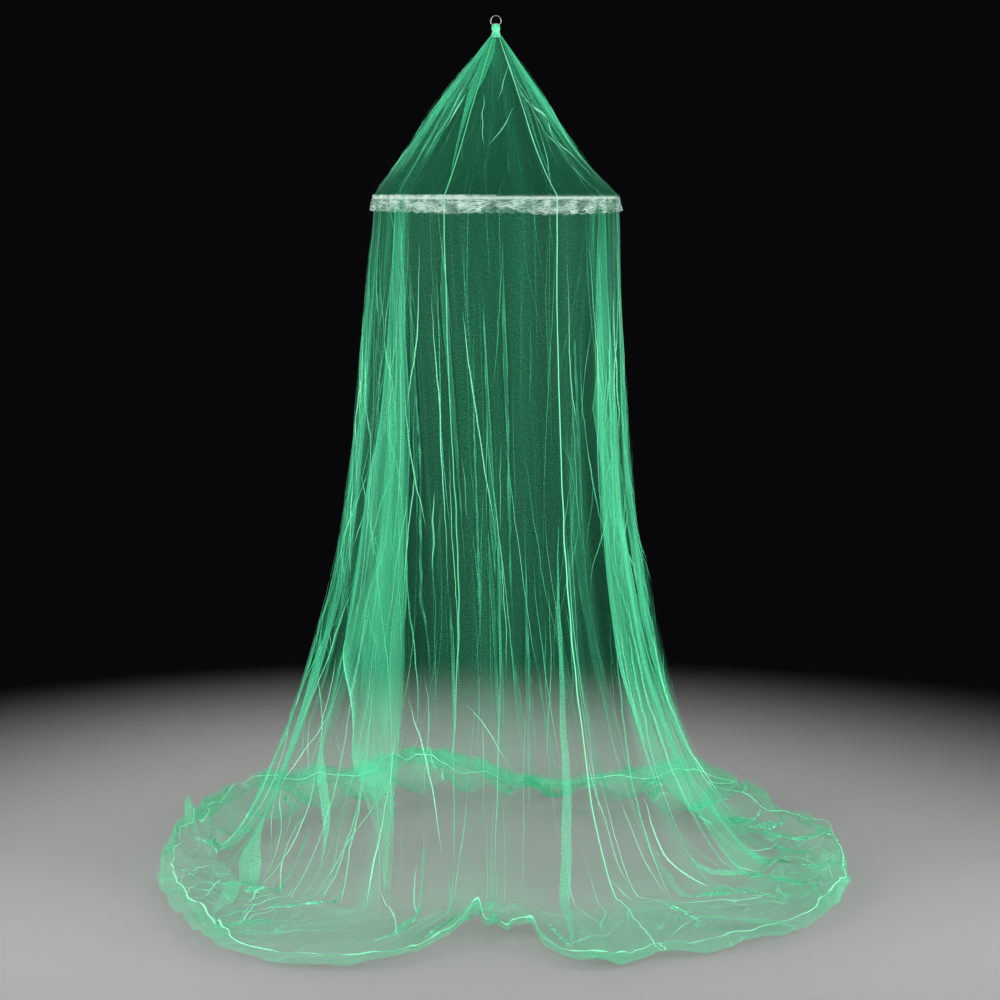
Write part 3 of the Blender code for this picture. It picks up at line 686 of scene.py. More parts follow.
def strip_line(points):
    """Fold, distance down and width at even steps along a line of points, its corners rounded off."""
    level, fold, width = np.array(points, dtype=float).T
    down = np.interp(level, LEVEL_MARKS, DOWN_MARKS)
    steps = np.hypot(np.diff(down), np.diff(fold) * FOLD_METRES)
    way = np.insert(steps.cumsum(), 0, 0)
    even = np.linspace(0, way[-1], STRIP_POINTS)
    line = np.stack([np.interp(even, way, row) for row in (fold, down, width)], axis=-1)
    for _ in range(STRIP_ROUNDING):
        line[1:-1] = 0.25 * line[:-2] + 0.5 * line[1:-1] + 0.25 * line[2:]
    return line


def strips(lines, columns, seed):
    """Stack of grids (fold, level) for narrow strips: each line widened square to its way."""
    line = np.stack([strip_line(points) for points in lines])
    fold, down, width = line[..., 0], line[..., 1], line[..., 2] / 1000
    level = np.interp(down, DOWN_MARKS, LEVEL_MARKS)
    metres = np.linalg.norm(smooth_net(fold, level)[..., :2], axis=-1) * FULL_TURN / FOLD_COUNT
    wander = sum(size * soft_noise(down * rate + fold[:, :1] * own, fold * 0 + seed, 64, seed + more)
                 for size, rate, own, more in STRIP_WANDERS)
    fold = fold + wander / metres
    sideways, onward = np.gradient(fold, axis=1) * metres, np.gradient(down, axis=1)
    size = np.hypot(sideways, onward) + 1e-9
    half = np.linspace(-1, 1, columns) * width[..., None] / 2
    u = fold[..., None] + half * (onward / size / metres)[..., None]
    d = down[..., None] - half * (sideways / size)[..., None]
    return u, np.interp(d, DOWN_MARKS, LEVEL_MARKS)


def strip_layer(lines, columns, lift, first, last, seed):
    """Layer of doubled cloth for the lines (points, layers) whose middle lies between two folds. Its
    cloth is streaky down its length, most of all in the thinnest ribbons."""
    mine = [line for line in lines if first <= np.mean(np.array(line[0])[:, 1]) % FOLD_COUNT < last]
    u, s = strips([points for points, _ in mine], columns, seed)
    points = doubled_net(u, s, lift)
    layers = np.array([count for _, count in mine])[:, None, None]
    uneven = np.where(layers < 5, 1.5, 0.5)
    streaks = 1.1 - uneven * 0.45 + uneven * soft_noise(u * 10, s * 1.5, 10 * FOLD_COUNT, seed) ** 2
    return layer(points, arc_lengths(points, 2), arc_lengths(points, 1), gather=layers * streaks,
                 lay=crease_places(u, s))


print(sum(row[0] for row in STRAYS.values()), "random creases tried,", len(stray_creases()), "kept")

# %% [markdown]
# ## The two panels
# Each panel runs from one seam to the other and from the neck to the bound edge. It is a single layer:
# net is 0.2 mm thick, far below what shows. The rows lie closer where the cloth bends: at the hoop, the
# foot and the hem.

# %% Net panels
COLUMNS_PER_FOLD = 32
# levels, and how many rows between them
LEVEL_RUNS = ((0.0, 0.98, 24), (0.98, 1.04, 7), (1.04, 1.85, 56), (1.85, 2.1, 22), (2.1, 2.96, 44),
              (2.96, 3.0, 4))
TURN_STEPS, BACK_STEPS = 6, 10
RIBBON_LIFT, CREASE_LIFT = 0.003, 0.004
RIBBON_COLUMNS, CREASE_COLUMNS = 13, 2
HEM_GATHER = 0.42  # the turned hem is two layers already


def seam_half_width(u, s):
    """Half a seam's width and the gap beside it, in folds."""
    per_metre = 2 * STEP / np.linalg.norm(slope_round(u, np.minimum(s, 3)), axis=-1)
    return np.minimum(SEAM_WIDTH / 2 * per_metre, WIDEST_HALF_SEAM), GAP * per_metre


def jogged(q, s):
    """Cloth columns near a seam drawn a little aside with it: a wander with the level, under a bell."""
    jog = 0.045 * soft_noise(s * 8, 0 * s, 64, 71) + 0.022 * soft_noise(s * 27, 0 * s, 128, 72)
    jog = jog * ease(s, 0.95, 1.1) * (1 - ease(s, 2.9, 3))
    for row in (0, BACK_SEAM, FOLD_COUNT):
        q = q + jog * np.exp(-((q - row) / 0.4) ** 2)
    return q


def levels_down(q):
    """Rows of levels for the columns q, from the neck to the bound edge."""
    runs = [np.linspace(start, end, count, endpoint=False) for start, end, count in LEVEL_RUNS]
    upper = np.repeat(np.concatenate(runs)[:, None], len(q), axis=1)
    turn = math.pi * TURN_RADIUS / (around("turn", q) * 0.8)
    bend = 3 + turn * np.linspace(0, 1, TURN_STEPS, endpoint=False)[:, None]
    back = 3 + turn + (1 - turn) * np.linspace(0, 1, BACK_STEPS)[:, None]
    return np.concatenate((upper, bend, back))


def gather(points, q, s):
    """How much cloth lies on each millimetre: the even spacing of the columns over the real one, times
    the depth of the laid pleats. It is more and streaky in the bundles, more in the hem's roll, on the
    floor and towards the neck, and less in the turned hem."""
    spacing = np.linalg.norm(np.gradient(points, axis=1), axis=-1)
    radius = np.linalg.norm(smooth_net(q, s)[..., :2], axis=-1)
    even = FULL_TURN * radius / FOLD_COUNT / COLUMNS_PER_FOLD
    crowd = np.clip(even / np.maximum(spacing, 1e-6), 0.5, 4)
    u, depth = laid(q, s)
    hanging = (1 - ease(s, 1.8, 2.3)) * ease(s, 0.97, 1.08)
    dense, rolled = bundled(u, s), bunched(u, s, 2.6)
    streaks = 0.5 + 0.5 * waves(q, s, 4, 1.2, 24)
    gaps = 0.5 + 0.5 * waves(q + 3 * s, s, 2, 3, 26)
    bundle = 1 + dense * hanging * (0.1 + 6.0 * streaks ** 4) * (0.3 + 1.4 * gaps)
    converge = np.clip(NET_RADIUS / radius, 0.75, 6)
    converge = np.where(s < 1, 1 + (converge - 1) * (0.15 + 0.85 * dense + 0.5 * streaks ** 3), converge)
    roll = 1 + 1.5 * rolled * (0.5 + streaks)
    pool = 1 + 6.0 * ease(s, 1.9, 2.2) * (1 - 0.7 * rolled)
    return crowd * (1 + depth) * bundle * converge * roll * pool * np.where(s > 2.99, HEM_GATHER, 1)


def panel(name, first, last):
    """One panel of net between the seams at the folds first and last, with its ribbons and creases."""
    q = np.linspace(first, last, (last - first) * COLUMNS_PER_FOLD + 1)
    s = levels_down(q)
    q = np.repeat(q[None], len(s), axis=0)
    for column, side in ((0, 1), (-1, -1)):
        q[:, column] += side * sum(seam_half_width(q[:, column], s[:, column]))
    q = jogged(q, s)
    points = net(q, s)
    middle = slice(points.shape[1] // 2, points.shape[1] // 2 + 1)
    across = arc_lengths(points, 1)
    cloth = layer(points, across - across[:, middle], arc_lengths(points, 0)[:, middle],
                  gather=gather(points, q, s), lay=crease_places(laid(q, s)[0], s))
    ribbons = [(points, layers) for layers, *points in RIBBONS]
    creases = placed_creases() + stray_creases()
    wide = strip_layer(ribbons, RIBBON_COLUMNS, RIBBON_LIFT, first, last, 61)
    thin = strip_layer(creases, CREASE_COLUMNS, CREASE_LIFT, first, last, 62)
    return cloth_mesh(name, cloth, wide, thin)


panel_right = panel("net_panel_right_cloth", 0, BACK_SEAM)
panel_left = panel("net_panel_left_cloth", BACK_SEAM, FOLD_COUNT)

# %% [markdown]
# ## Seams and binding
# The seams and the bound edge are overlocked: a dense thread wraps the cut edges, so they show as the
# brightest lines of the net. They are narrow bands that ride on the cloth, a millimetre proud of it.

# %% Seams and hem binding
BINDING_WIDTH = 0.0036
BINDING_CALM = 0.45  # share of that width that is lost in the hem's roll
BAND_RISE = 0.0012  # the rounded back of a band over its edges
SEAM_LIFT, BINDING_LIFT = 0.0004, 0.0006


def seam(name, row):
    """Narrow band down one fold, with a rounded back: five points across, the middle ones raised."""
    side = np.array((-1.0, -0.6, 0.0, 0.6, 1.0))
    s = levels_down(np.full(1, float(row)))
    q = row + seam_half_width(row + 0 * s, s)[0] * side
    s = s + 0 * q
    points = net(jogged(q, s), s, lift=SEAM_LIFT + BAND_RISE * (1 - side ** 2))
    return cloth_mesh(name, layer(points, side * SEAM_WIDTH / 2, arc_lengths(points, 0)))


def hem_binding():
    """Band round the free edge of the hem, one closed loop, with a rounded back."""
    q = np.arange(FOLD_COUNT * COLUMNS_PER_FOLD) / COLUMNS_PER_FOLD
    side = np.linspace(-1, 1, 5)[:, None]
    width = BINDING_WIDTH * (1 - BINDING_CALM * bunched(q, 3 + 0 * q))
    s = 4 - width / around("turn", q) * (0.5 - side / 2)
    points = net(q + 0 * s, s, lift=BINDING_LIFT + BAND_RISE * (1 - side ** 2))
    cloth = layer(points, arc_lengths(points, 1)[:1], side * BINDING_WIDTH / 2)
    return cloth_mesh("hem_binding_thread", cloth, closed=True)


seam_front = seam("seam_front_thread", 0)
seam_back = seam("seam_back_thread", BACK_SEAM)
binding = hem_binding()

# %% [markdown]
# ## Hoop and ring
# The hoop that spreads the net and the ring that carries it are plain round tubes. A circle carried
# round a circle gives both, and only the ring stands upright.

# %% Rings and tubes
HOOP_TUBE = 0.008
HOOP_DROP = 0.006  # its middle below the hoop's level
HOOP_GAP = 0.0009
RING_OUTER = 0.027
RING_WIRE = 0.0022


def torus(name, radius, tube, centre, upright=False, steps=(192, 20)):
    """Closed tube round a circle: radius plus tube times the cosine outward, tube times the sine up."""
    turn = np.linspace(0, FULL_TURN, steps[0], endpoint=False)
    girth = -np.linspace(0, FULL_TURN, steps[1] + 1)[:, None]
    out = radius + tube * np.cos(girth)
    x, y, z = out * np.sin(turn), -out * np.cos(turn), tube * np.sin(girth) + 0 * turn
    points = np.stack((x, -z, -y) if upright else (x, y, z), axis=-1) + centre
    return cloth_mesh(name, layer(points, turn * radius, girth * tube), closed=True)


hoop = torus("hoop_tube", NET_RADIUS - CLOTH / 2 - HOOP_GAP - HOOP_TUBE / 2, HOOP_TUBE / 2,
             (0, 0, HOOP_HEIGHT - HOOP_DROP + FLOOR_Z))
ring = torus("hang_ring_wire", (RING_OUTER - RING_WIRE) / 2, RING_WIRE / 2,
             (0, 0, RING_WIRE - RING_OUTER / 2), upright=True, steps=(128, 16))

# %% [markdown]
# ## Lace
# The lace is a flat tape with a frill gathered on it. A real frill is never even, so the frill's waves
# differ from each other, they open downwards, and its lower edge is scalloped.

# %% Lace
LACE_THICK = 0.0016
LACE_RADIUS = NET_RADIUS + CLOTH / 2 + HOOP_GAP + LACE_THICK / 2
HEADING_DEPTH, HEADING_ABOVE = 0.007, 0.001  # below and above the hoop's level
HEADING_BULGE, HEADING_WAVER = 0.0007, 0.0005
FRILL_DEPTH, FRILL_DEPTH_DRIFT, FRILL_SCALLOP = 0.038, 0.005, 0.004
FRILL_SWING, FRILL_STAND, FRILL_RUFFLE = 0.003, 0.008, 0.0022
FRILL_HITCH, FRILL_HITCH_AT, FRILL_HITCH_WIDTH = 0.020, 2, 10  # metres, degrees, degrees
GATHERS, RUFFLES, SCALLOPS = 84, 210, 74  # how many go round


def lace_heading():
    """Tape round the net: a cylinder whose radius bulges slightly and wavers by a fraction of a mm."""
    angle = np.linspace(-math.pi, math.pi, 512, endpoint=False)
    t = np.linspace(0, 1, 7)[:, None]
    waver = HEADING_WAVER * soft_noise(angle * 9 + 40, 0 * angle, 57, 21)
    radius = LACE_RADIUS + waver + HEADING_BULGE * np.sin(math.pi * t)
    height = HOOP_HEIGHT + HEADING_ABOVE - t * (HEADING_DEPTH + HEADING_ABOVE)
    cloth = layer(turned(radius, angle, height), angle * LACE_RADIUS, t * HEADING_DEPTH)
    return cloth_mesh("lace_heading_tape", cloth, closed=True)


def lace_frill():
    """Frill: it drops from the tape while gathers of random width swing it out, more towards its
    edge. Small ruffles run over them, and the depth follows scallops and a hitch at the front."""
    angle = np.linspace(-math.pi, math.pi, 2400, endpoint=False)
    t = np.linspace(0, 1, 13)[:, None]
    turns = angle / FULL_TURN + 0.5
    wave = 0.5 + 0.5 * soft_noise(turns * GATHERS, t * 0.8, GATHERS, 22)
    ruffle = FRILL_RUFFLE * t * soft_noise(turns * RUFFLES, t * 1.5, RUFFLES, 23)
    hitch = FRILL_HITCH * np.exp(-((np.degrees(angle) - FRILL_HITCH_AT) / FRILL_HITCH_WIDTH) ** 2)
    scallop = FRILL_SCALLOP * np.abs(np.sin(math.pi * SCALLOPS * turns))
    depth = FRILL_DEPTH + FRILL_DEPTH_DRIFT * np.sin(2 * angle + 1) + scallop - hitch
    radius = LACE_RADIUS + 0.001 + t * (FRILL_SWING + FRILL_STAND * wave) + ruffle
    points = turned(radius, angle, HOOP_HEIGHT - HEADING_DEPTH * 0.6 - t * depth)
    return cloth_mesh("lace_frill_cloth", layer(points, angle * LACE_RADIUS, t * FRILL_DEPTH), closed=True)


heading = lace_heading()
frill = lace_frill()

# %% [markdown]
# ## The neck
# The neck is the net itself, run together, folded over the ring's wire and tied. A few sections give
# the lump its shape, and flutes with sharp edges stand for the gathers. The tie is a tube along a helix.

# %% Gathered neck
# height over the floor, half width, half depth
NECK_SECTIONS = (
    (2.0480, 0.0125, 0.0125), (2.0572, 0.0098, 0.0098), (2.0600, 0.0080, 0.0076), (2.0622, 0.0078, 0.0074),
    (2.0660, 0.0100, 0.0080), (2.0730, 0.0096, 0.0066), (2.0775, 0.0080, 0.0050), (2.0800, 0.0045, 0.0028),
    (2.0806, 0.0004, 0.0004),
)
NECK_FLUTES = 34
TIE_RADIUS, TIE_WIRE, TIE_TURNS = 0.0086, 0.0005, 4
TIE_HEIGHT, TIE_RISE = 2.0588, 0.0042


def neck():
    """Lofted lump: straight lines between the sections' half widths and depths, its radius fluted by
    sharp-edged gathers that fade out at the top, where the cloth folds over the ring."""
    sections = np.array(NECK_SECTIONS)
    angle = np.linspace(0, FULL_TURN, 240, endpoint=False)
    t = np.linspace(len(sections) - 1, 0, 49)[:, None]
    height, wide, deep = (np.interp(t, np.arange(len(sections)), column) for column in sections.T)
    gathers = np.abs(soft_noise(angle / FULL_TURN * NECK_FLUTES, 0.4 * t, NECK_FLUTES, 31))
    flute = 1 + (0.16 * gathers - 0.06) * (1 - ease(t, 6, 8))
    points = turned(flute, angle, height) * np.stack(np.broadcast_arrays(wide, deep, 1.0), axis=-1)
    cloth = layer(points, angle * NECK_RADIUS, height - sections[0, 0])
    return cloth_mesh("neck_gathers", cloth, closed=True)


def tie_thread():
    """Thread wound four times round the waist: a tube along a helix."""
    turns = np.linspace(0, TIE_TURNS * FULL_TURN, 240)
    girth = np.linspace(0, FULL_TURN, 9)[:, None]
    height = TIE_HEIGHT + TIE_RISE * turns / turns[-1] + TIE_WIRE * np.sin(girth)
    points = turned(TIE_RADIUS + TIE_WIRE * np.cos(girth), turns, height)
    return cloth_mesh("neck_tie_thread", layer(points, turns * TIE_RADIUS, girth * TIE_WIRE))


neck_piece = neck()
tie = tie_thread()

# %% [markdown]
# ## Shader nodes in a few words
# The materials are built from nodes in Python. Small helpers keep that readable: one adds a node with
# its inputs linked or set, and the others are for sums, noise and mixing. A socket knows its own tree,
# so they need no tree. The effects that several materials share are node groups, which put out masks.

# %% Helpers for nodes
def add(tree, kind, inputs=(), **settings):
    """New node in tree with its settings; each input, by name or number, linked or set to a value."""
    made = tree.nodes.new("ShaderNode" + kind)
    for key, value in settings.items():
        setattr(made, key, value)
    for key, value in dict(inputs).items():
        if isinstance(value, bpy.types.NodeSocket):
            tree.links.new(value, made.inputs[key])
        else:
            made.inputs[key].default_value = value
    return made


def maths(operation, *values):
    """Result of one Math node on sockets or numbers, in the tree of the first socket."""
    tree = next(value.id_data for value in values if isinstance(value, bpy.types.NodeSocket))
    return add(tree, "Math", enumerate(values), operation=operation).outputs[0]


def chain(operation, first, *others):
    """One Math operation taken over several values in turn, such as a product of all."""
    for other in others:
        first = maths(operation, first, other)
    return first


def soft_range(value, start, end, low=0.0, high=1.0):
    """Value mapped smoothly from start..end to low..high, and held flat beyond them."""
    ends = {"Value": value, "From Min": start, "From Max": end, "To Min": low, "To Max": high}
    return add(value.id_data, "MapRange", ends, interpolation_type='SMOOTHSTEP').outputs[0]


def noise(place, scale, detail=1.0):
    """Smooth noise between 0 and 1 at a place."""
    return add(place.id_data, "TexNoise", {"Vector": place, "Scale": scale, "Detail": detail}).outputs["Fac"]


def parts(place):
    """The three coordinates of a place."""
    return add(place.id_data, "SeparateXYZ", {0: place}).outputs


def mixed(mask, first, second):
    """First colour where the mask is 0, second where it is 1."""
    return add(mask.id_data, "MixRGB", {"Fac": mask, "Color1": first, "Color2": second}).outputs[0]


def feed(node, **sockets):
    """Links sockets to the inputs of a node by their names, with _ for a space."""
    for key, socket in sockets.items():
        node.id_data.links.new(socket, node.inputs[key.replace("_", " ")])


def open_group(name, inputs, output):
    """New group's tree, its inputs' sockets by name and its output node."""
    tree = bpy.data.node_groups.new(name, 'ShaderNodeTree')
    tree.interface.new_socket("Place", in_out='INPUT', socket_type='NodeSocketVector')
    for key, default in inputs.items():
        made = tree.interface.new_socket(key, in_out='INPUT', socket_type='NodeSocketFloat')
        made.default_value = default
    tree.interface.new_socket(output, in_out='OUTPUT', socket_type='NodeSocketFloat')
    print("group", name, "with", ["Place", *inputs], "gives", output)
    return tree, tree.nodes.new('NodeGroupInput').outputs, tree.nodes.new('NodeGroupOutput')


def use(group, place, **values):
    """Places a group in a material, fed with a place and its own values, and returns its output."""
    made = place.id_data.nodes.new("ShaderNodeGroup")
    made.node_tree = group
    feed(made, Place=place)
    for key, value in values.items():
        made.inputs[key].default_value = value
    return made.outputs[0]


# %% [markdown]
# ## The knitted mesh of the net
# Mosquito net is knitted in tiny hexagons. Three cosines at 60 degrees to each other add up to a field
# that is highest in the middle of each hexagon and lowest along its sides, so its low part is the
# thread. The coarser ground of the lace is the same group at a larger pitch.

# %% Group: hexagon mesh
NET_PITCH, LACE_PITCH = 0.002, 0.0036


def hexagon_mesh_group():
    """Thread mask: 1 where cos a + cos b + cos c is under -0.75, with a, b and c three directions 60
    degrees apart in units of the pitch, and 0 where it is over -0.35."""
    tree, inputs, output = open_group("Hexagon mesh", {"Pitch": NET_PITCH}, "Thread")
    cosines = []
    for angle in np.radians((0, 60, 120)):
        way = {0: inputs["Place"], 1: (math.cos(angle), math.sin(angle), 0)}
        travel = add(tree, "VectorMath", way, operation='DOT_PRODUCT').outputs["Value"]
        turns = maths('DIVIDE', travel, inputs["Pitch"])
        cosines.append(maths('COSINE', maths('MULTIPLY', turns, FULL_TURN)))
    feed(output, Thread=soft_range(chain('ADD', *cosines), -0.75, -0.35, 1, 0))
    return tree


HEXAGON_MESH = hexagon_mesh_group()

# %% [markdown]
# ## Crease lines
# Irregular creases are the thin lines where a smooth noise passes through its middle value. Stretching
# the noise down the cloth turns them into long lines that part and meet, as pinched net has them.
# Creases that follow the folds are the whole numbers of a coordinate instead.

# %% Groups: crease lines and fold lines
def line_mask(away, width):
    """1 on a line, falling smoothly to 0 at a width from it."""
    return soft_range(maths('DIVIDE', maths('ABSOLUTE', away), width), 0, 1, 1, 0)


def crease_lines_group():
    """Line mask: 1 where a noise is near one half, falling to 0 at Width from it; Across and Down are
    how many noise cells there are per unit of the place's first and second coordinate."""
    defaults = {"Across": 8.0, "Down": 1.0, "Width": 0.03}
    tree, inputs, output = open_group("Crease lines", defaults, "Lines")
    scale = add(tree, "CombineXYZ", {0: inputs["Across"], 1: inputs["Down"], 2: 1.0}).outputs[0]
    place = add(tree, "VectorMath", {0: inputs["Place"], 1: scale}, operation='MULTIPLY').outputs[0]
    feed(output, Lines=line_mask(maths('SUBTRACT', noise(place, 1.0), 0.5), inputs["Width"]))
    return tree


def fold_lines_group():
    """Line mask: 1 where the place's first coordinate is a whole number, 0 at Width from it. Each line
    has its own noise down the second coordinate, which fades it in and out: Share is how much shows."""
    defaults = {"Width": 0.08, "Down": 2.0, "Share": 0.5}
    tree, inputs, output = open_group("Fold lines", defaults, "Lines")
    across, down, _ = parts(inputs["Place"])
    line = maths('ROUND', across)
    edge = line_mask(maths('SUBTRACT', across, line), inputs["Width"])
    own = {0: maths('MULTIPLY', line, 7.37), 1: maths('MULTIPLY', down, inputs["Down"])}
    fading = noise(add(tree, "CombineXYZ", own).outputs[0], 1.0)
    shown = soft_range(maths('ADD', fading, inputs["Share"]), 1.0, 1.25)
    feed(output, Lines=maths('MULTIPLY', edge, shown))
    return tree


CREASE_LINES = crease_lines_group()
FOLD_LINES = fold_lines_group()

# %% [markdown]
# ## The net's finish
# One layer of the net is almost nothing: a few percent of thread. What shows is cloth upon cloth. So the
# opacity of one layer is raised to the number of layers that "gather" stands for: what is left
# open is (1 - a) to that power. Creases add more cloth along their lines, and there, as where much
# cloth is gathered, the green is painted paler as a painted highlight. The sheen is the soft shine of the
# fine yarn, seen at a slant.

# %% Material: green net
# the second green is a painted highlight, the net's colour on creases and densely gathered cloth
NET_GREEN, HIGHLIGHT_GREEN = (0.055, 0.66, 0.32, 1), (0.28, 0.98, 0.60, 1)
HAZE, ON_THREAD = 0.04, 0.06  # opacity of one layer, and how much more its threads have
CREASE_LAYERS = 9.0  # layers of net that a crease stands for


def new_material(name, color, roughness, on_cloth=True, **settings):
    """Principled material with constant values: it, its shader and its place, which is the cloth's own
    UV map in metres or else the object's coordinates."""
    material = bpy.data.materials.new(name)
    material.use_nodes = True
    shader = material.node_tree.nodes["Principled BSDF"]
    for key, value in {"Base_Color": color, "Roughness": roughness, **settings}.items():
        shader.inputs[key.replace("_", " ")].default_value = value
    if on_cloth:
        place = add(material.node_tree, "UVMap", uv_map="Cloth").outputs[0]
    else:
        place = add(material.node_tree, "TexCoord").outputs["Object"]
    print("material", name)
    return material, shader, place


def relief(shader, height, strength, distance):
    """Bump on a shader: the height's strength, and how high it stands in metres."""
    bump = {"Height": height, "Strength": strength, "Distance": distance}
    feed(shader, Normal=add(shader.id_data, "Bump", bump).outputs[0])


def net_material():
    """Sheer net: opacity 1 - (1 - a) ^ (gather + creases), and a painted highlight: its colour paler
    along the creases and where much cloth is gathered."""
    material, shader, cloth = new_material("green net", NET_GREEN, 0.6, Sheen_Weight=0.12,
                                           Sheen_Roughness=0.4, Sheen_Tint=(0.4, 1.0, 0.7, 1))
    tree = shader.id_data
    lay = add(tree, "Attribute", attribute_name="lay").outputs["Vector"]
    crowd = add(tree, "Attribute", attribute_name="gather").outputs["Fac"]
    _, level, across = parts(lay)
    slanting = add(tree, "CombineXYZ", {0: across, 1: level}).outputs[0]
    strong = use(FOLD_LINES, lay, Width=0.13, Down=1.3, Share=0.40)
    crossing = use(FOLD_LINES, slanting, Width=0.07, Down=2.2, Share=0.44)
    rumples = use(CREASE_LINES, cloth, Across=16.0, Down=6.0, Width=0.010)
    pooled = maths('MULTIPLY', soft_range(level, 1.9, 2.2), 0.5)
    lines = maths('MULTIPLY_ADD', rumples, pooled, maths('ADD', strong, maths('MULTIPLY', crossing, 0.8)))
    layers = maths('MULTIPLY_ADD', lines, CREASE_LAYERS, crowd)
    single = maths('MULTIPLY_ADD', use(HEXAGON_MESH, cloth, Pitch=NET_PITCH), ON_THREAD, HAZE)
    single = maths('MULTIPLY', single, soft_range(noise(cloth, 260.0), 0.3, 0.7, 0.5, 1.5))
    open_part = maths('POWER', maths('SUBTRACT', 1.0, single), layers)
    # painted highlight: paler green along the creases and where much cloth is gathered
    highlight_mask = maths('MAXIMUM', soft_range(crowd, 9, 20), maths('MULTIPLY', lines, 0.6))
    feed(shader, Alpha=maths('SUBTRACT', 1.0, open_part), Base_Color=mixed(highlight_mask, NET_GREEN, HIGHLIGHT_GREEN))
    return material


# %% [markdown]
# ## Overlocked thread
# Thread that wraps an edge is dense and ribbed across it. At this scale the ribs are a bump of slanting
# sines, and no shape of their own.

# %% Material: overlocked thread
RIB_PITCH = 0.0016


def thread_material(name, color):
    """Dense thread: ribs whose height is the sine of both coordinates' sum, one every rib pitch."""
    material, shader, cloth = new_material(name, color, 0.7, Sheen_Weight=0.3, Sheen_Roughness=0.5)
    across, along, _ = parts(cloth)
    slant = maths('MULTIPLY', maths('ADD', across, along), FULL_TURN / RIB_PITCH)
    relief(shader, maths('SINE', slant), 0.4, 0.0004)
    return material


# %% [markdown]
# ## Lace
# The lace is white cotton: a ground of coarse mesh, strands, flowers of five petals and a ragged edge.
# Its colour is painted greyer and green, as painted shade and a painted cast of the light that the net
# round it bounces. It is an ordinary pattern, since the real one is only a few pixels high. The holes
# are opacity, as in the net.

# %% Material: white lace
# white lace painted greyer and green: painted shade and a painted cast of light bounced from the net
LACE_WITH_PAINTED_GREEN_CAST = (0.58, 0.76, 0.67, 1)
FLOWER_PITCH, FLOWER_BELOW = 0.025, 0.019
PETALS, PETAL_REACH, FLOWER_RADIUS = 5.0, 0.0018, 0.0052
RAGGED = 0.010  # how far the lower edge wanders, in metres


def lace_material(name, strand, ground, right):
    """Openwork: wavy strands along the lace at two sizes, a coarse ground mesh, and a row of flowers
    whose outline is a radius that waves five times round. strand and ground are how much shows of
    each, and right is the share that is left of both on the right."""
    material, shader, cloth = new_material(name, LACE_WITH_PAINTED_GREEN_CAST, 0.8, Sheen_Weight=0.2, Sheen_Roughness=0.5)
    strands = use(CREASE_LINES, cloth, Across=26.0, Down=230.0, Width=0.10)
    loops = use(CREASE_LINES, cloth, Across=70.0, Down=300.0, Width=0.05)
    across, down, _ = parts(cloth)
    cell = maths('SUBTRACT', maths('PINGPONG', across, FLOWER_PITCH / 2), FLOWER_PITCH / 4)
    below = maths('SUBTRACT', down, FLOWER_BELOW)
    radius = maths('SQRT', maths('ADD', maths('POWER', cell, 2.0), maths('POWER', below, 2.0)))
    petals = maths('COSINE', maths('MULTIPLY', maths('ARCTAN2', below, cell), PETALS))
    rim = maths('SUBTRACT', radius, maths('MULTIPLY_ADD', petals, PETAL_REACH, FLOWER_RADIUS))
    flower = soft_range(maths('ABSOLUTE', rim), 0.0002, 0.0009, 1, 0)
    mesh = maths('MULTIPLY', use(HEXAGON_MESH, cloth, Pitch=LACE_PITCH), ground)
    weave = chain('MAXIMUM', strands, loops, maths('MULTIPLY', flower, 0.8), mesh)
    patches = noise(cloth, 28.0)
    edge = soft_range(maths('MULTIPLY_ADD', patches, RAGGED, down), FRILL_DEPTH, FRILL_DEPTH + 0.003, 1, 0)
    fullness = chain('MULTIPLY', soft_range(patches, 0.35, 0.65, 0.2, 1.0), strand, edge,
                     soft_range(across, -0.08, 0.02, 1.0, right))
    feed(shader, Alpha=maths('MULTIPLY', weave, fullness))
    relief(shader, weave, 0.5, 0.0006)
    return material


# %% [markdown]
# ## Neck, hoop and ring
# The run-together net is nearly solid, so its gathers are drawn in bump and as painted highlights in the
# colour. The tube's colour is painted darker and greenish as painted shade of the net over it, and the
# wire is plain; only their roughness varies a little.

# %% Materials: neck, hoop and ring
def gathered_material():
    """Net run together at the neck: nearly solid, its fine gathers drawn by crease lines in bump and as
    painted highlights, paler green on the lines.
    """
    material, shader, cloth = new_material("gathered net", (0.12, 0.85, 0.42, 1), 0.6, Sheen_Weight=0.4)
    lines = use(CREASE_LINES, cloth, Across=900.0, Down=60.0, Width=0.12)
    # painted highlights: the gathers' crease lines paler green than the darker green between them
    feed(shader, Base_Color=mixed(lines, (0.05, 0.62, 0.27, 1), (0.2, 0.98, 0.58, 1)))
    relief(shader, lines, 0.6, 0.0006)
    return material


def steel_material():
    """Drawn steel wire: roughness varied by fine scratches."""
    material, shader, place = new_material("ring steel", (0.30, 0.30, 0.31, 1), 0.35, False, Metallic=1.0)
    scratches = use(CREASE_LINES, place, Across=500.0, Down=500.0, Width=0.1)
    feed(shader, Roughness=soft_range(scratches, 0, 1, 0.28, 0.42))
    return material


def plastic_material():
    """Smooth tube, its pale plastic painted darker and greenish as painted shade of the net over it, with a
    faint mottling of roughness.
    """
    # painted shade: the pale tube coloured darker and greenish for the net that covers it
    material, shader, place = new_material("hoop plastic", (0.42, 0.50, 0.45, 1), 0.45, False)
    feed(shader, Roughness=soft_range(noise(place, 60.0, 3.0), 0.2, 0.8, 0.38, 0.52))
    return material


# %% [markdown]
# ## Dressing
# Each piece gets its material and says which solid it stands for, and that solid is hidden.

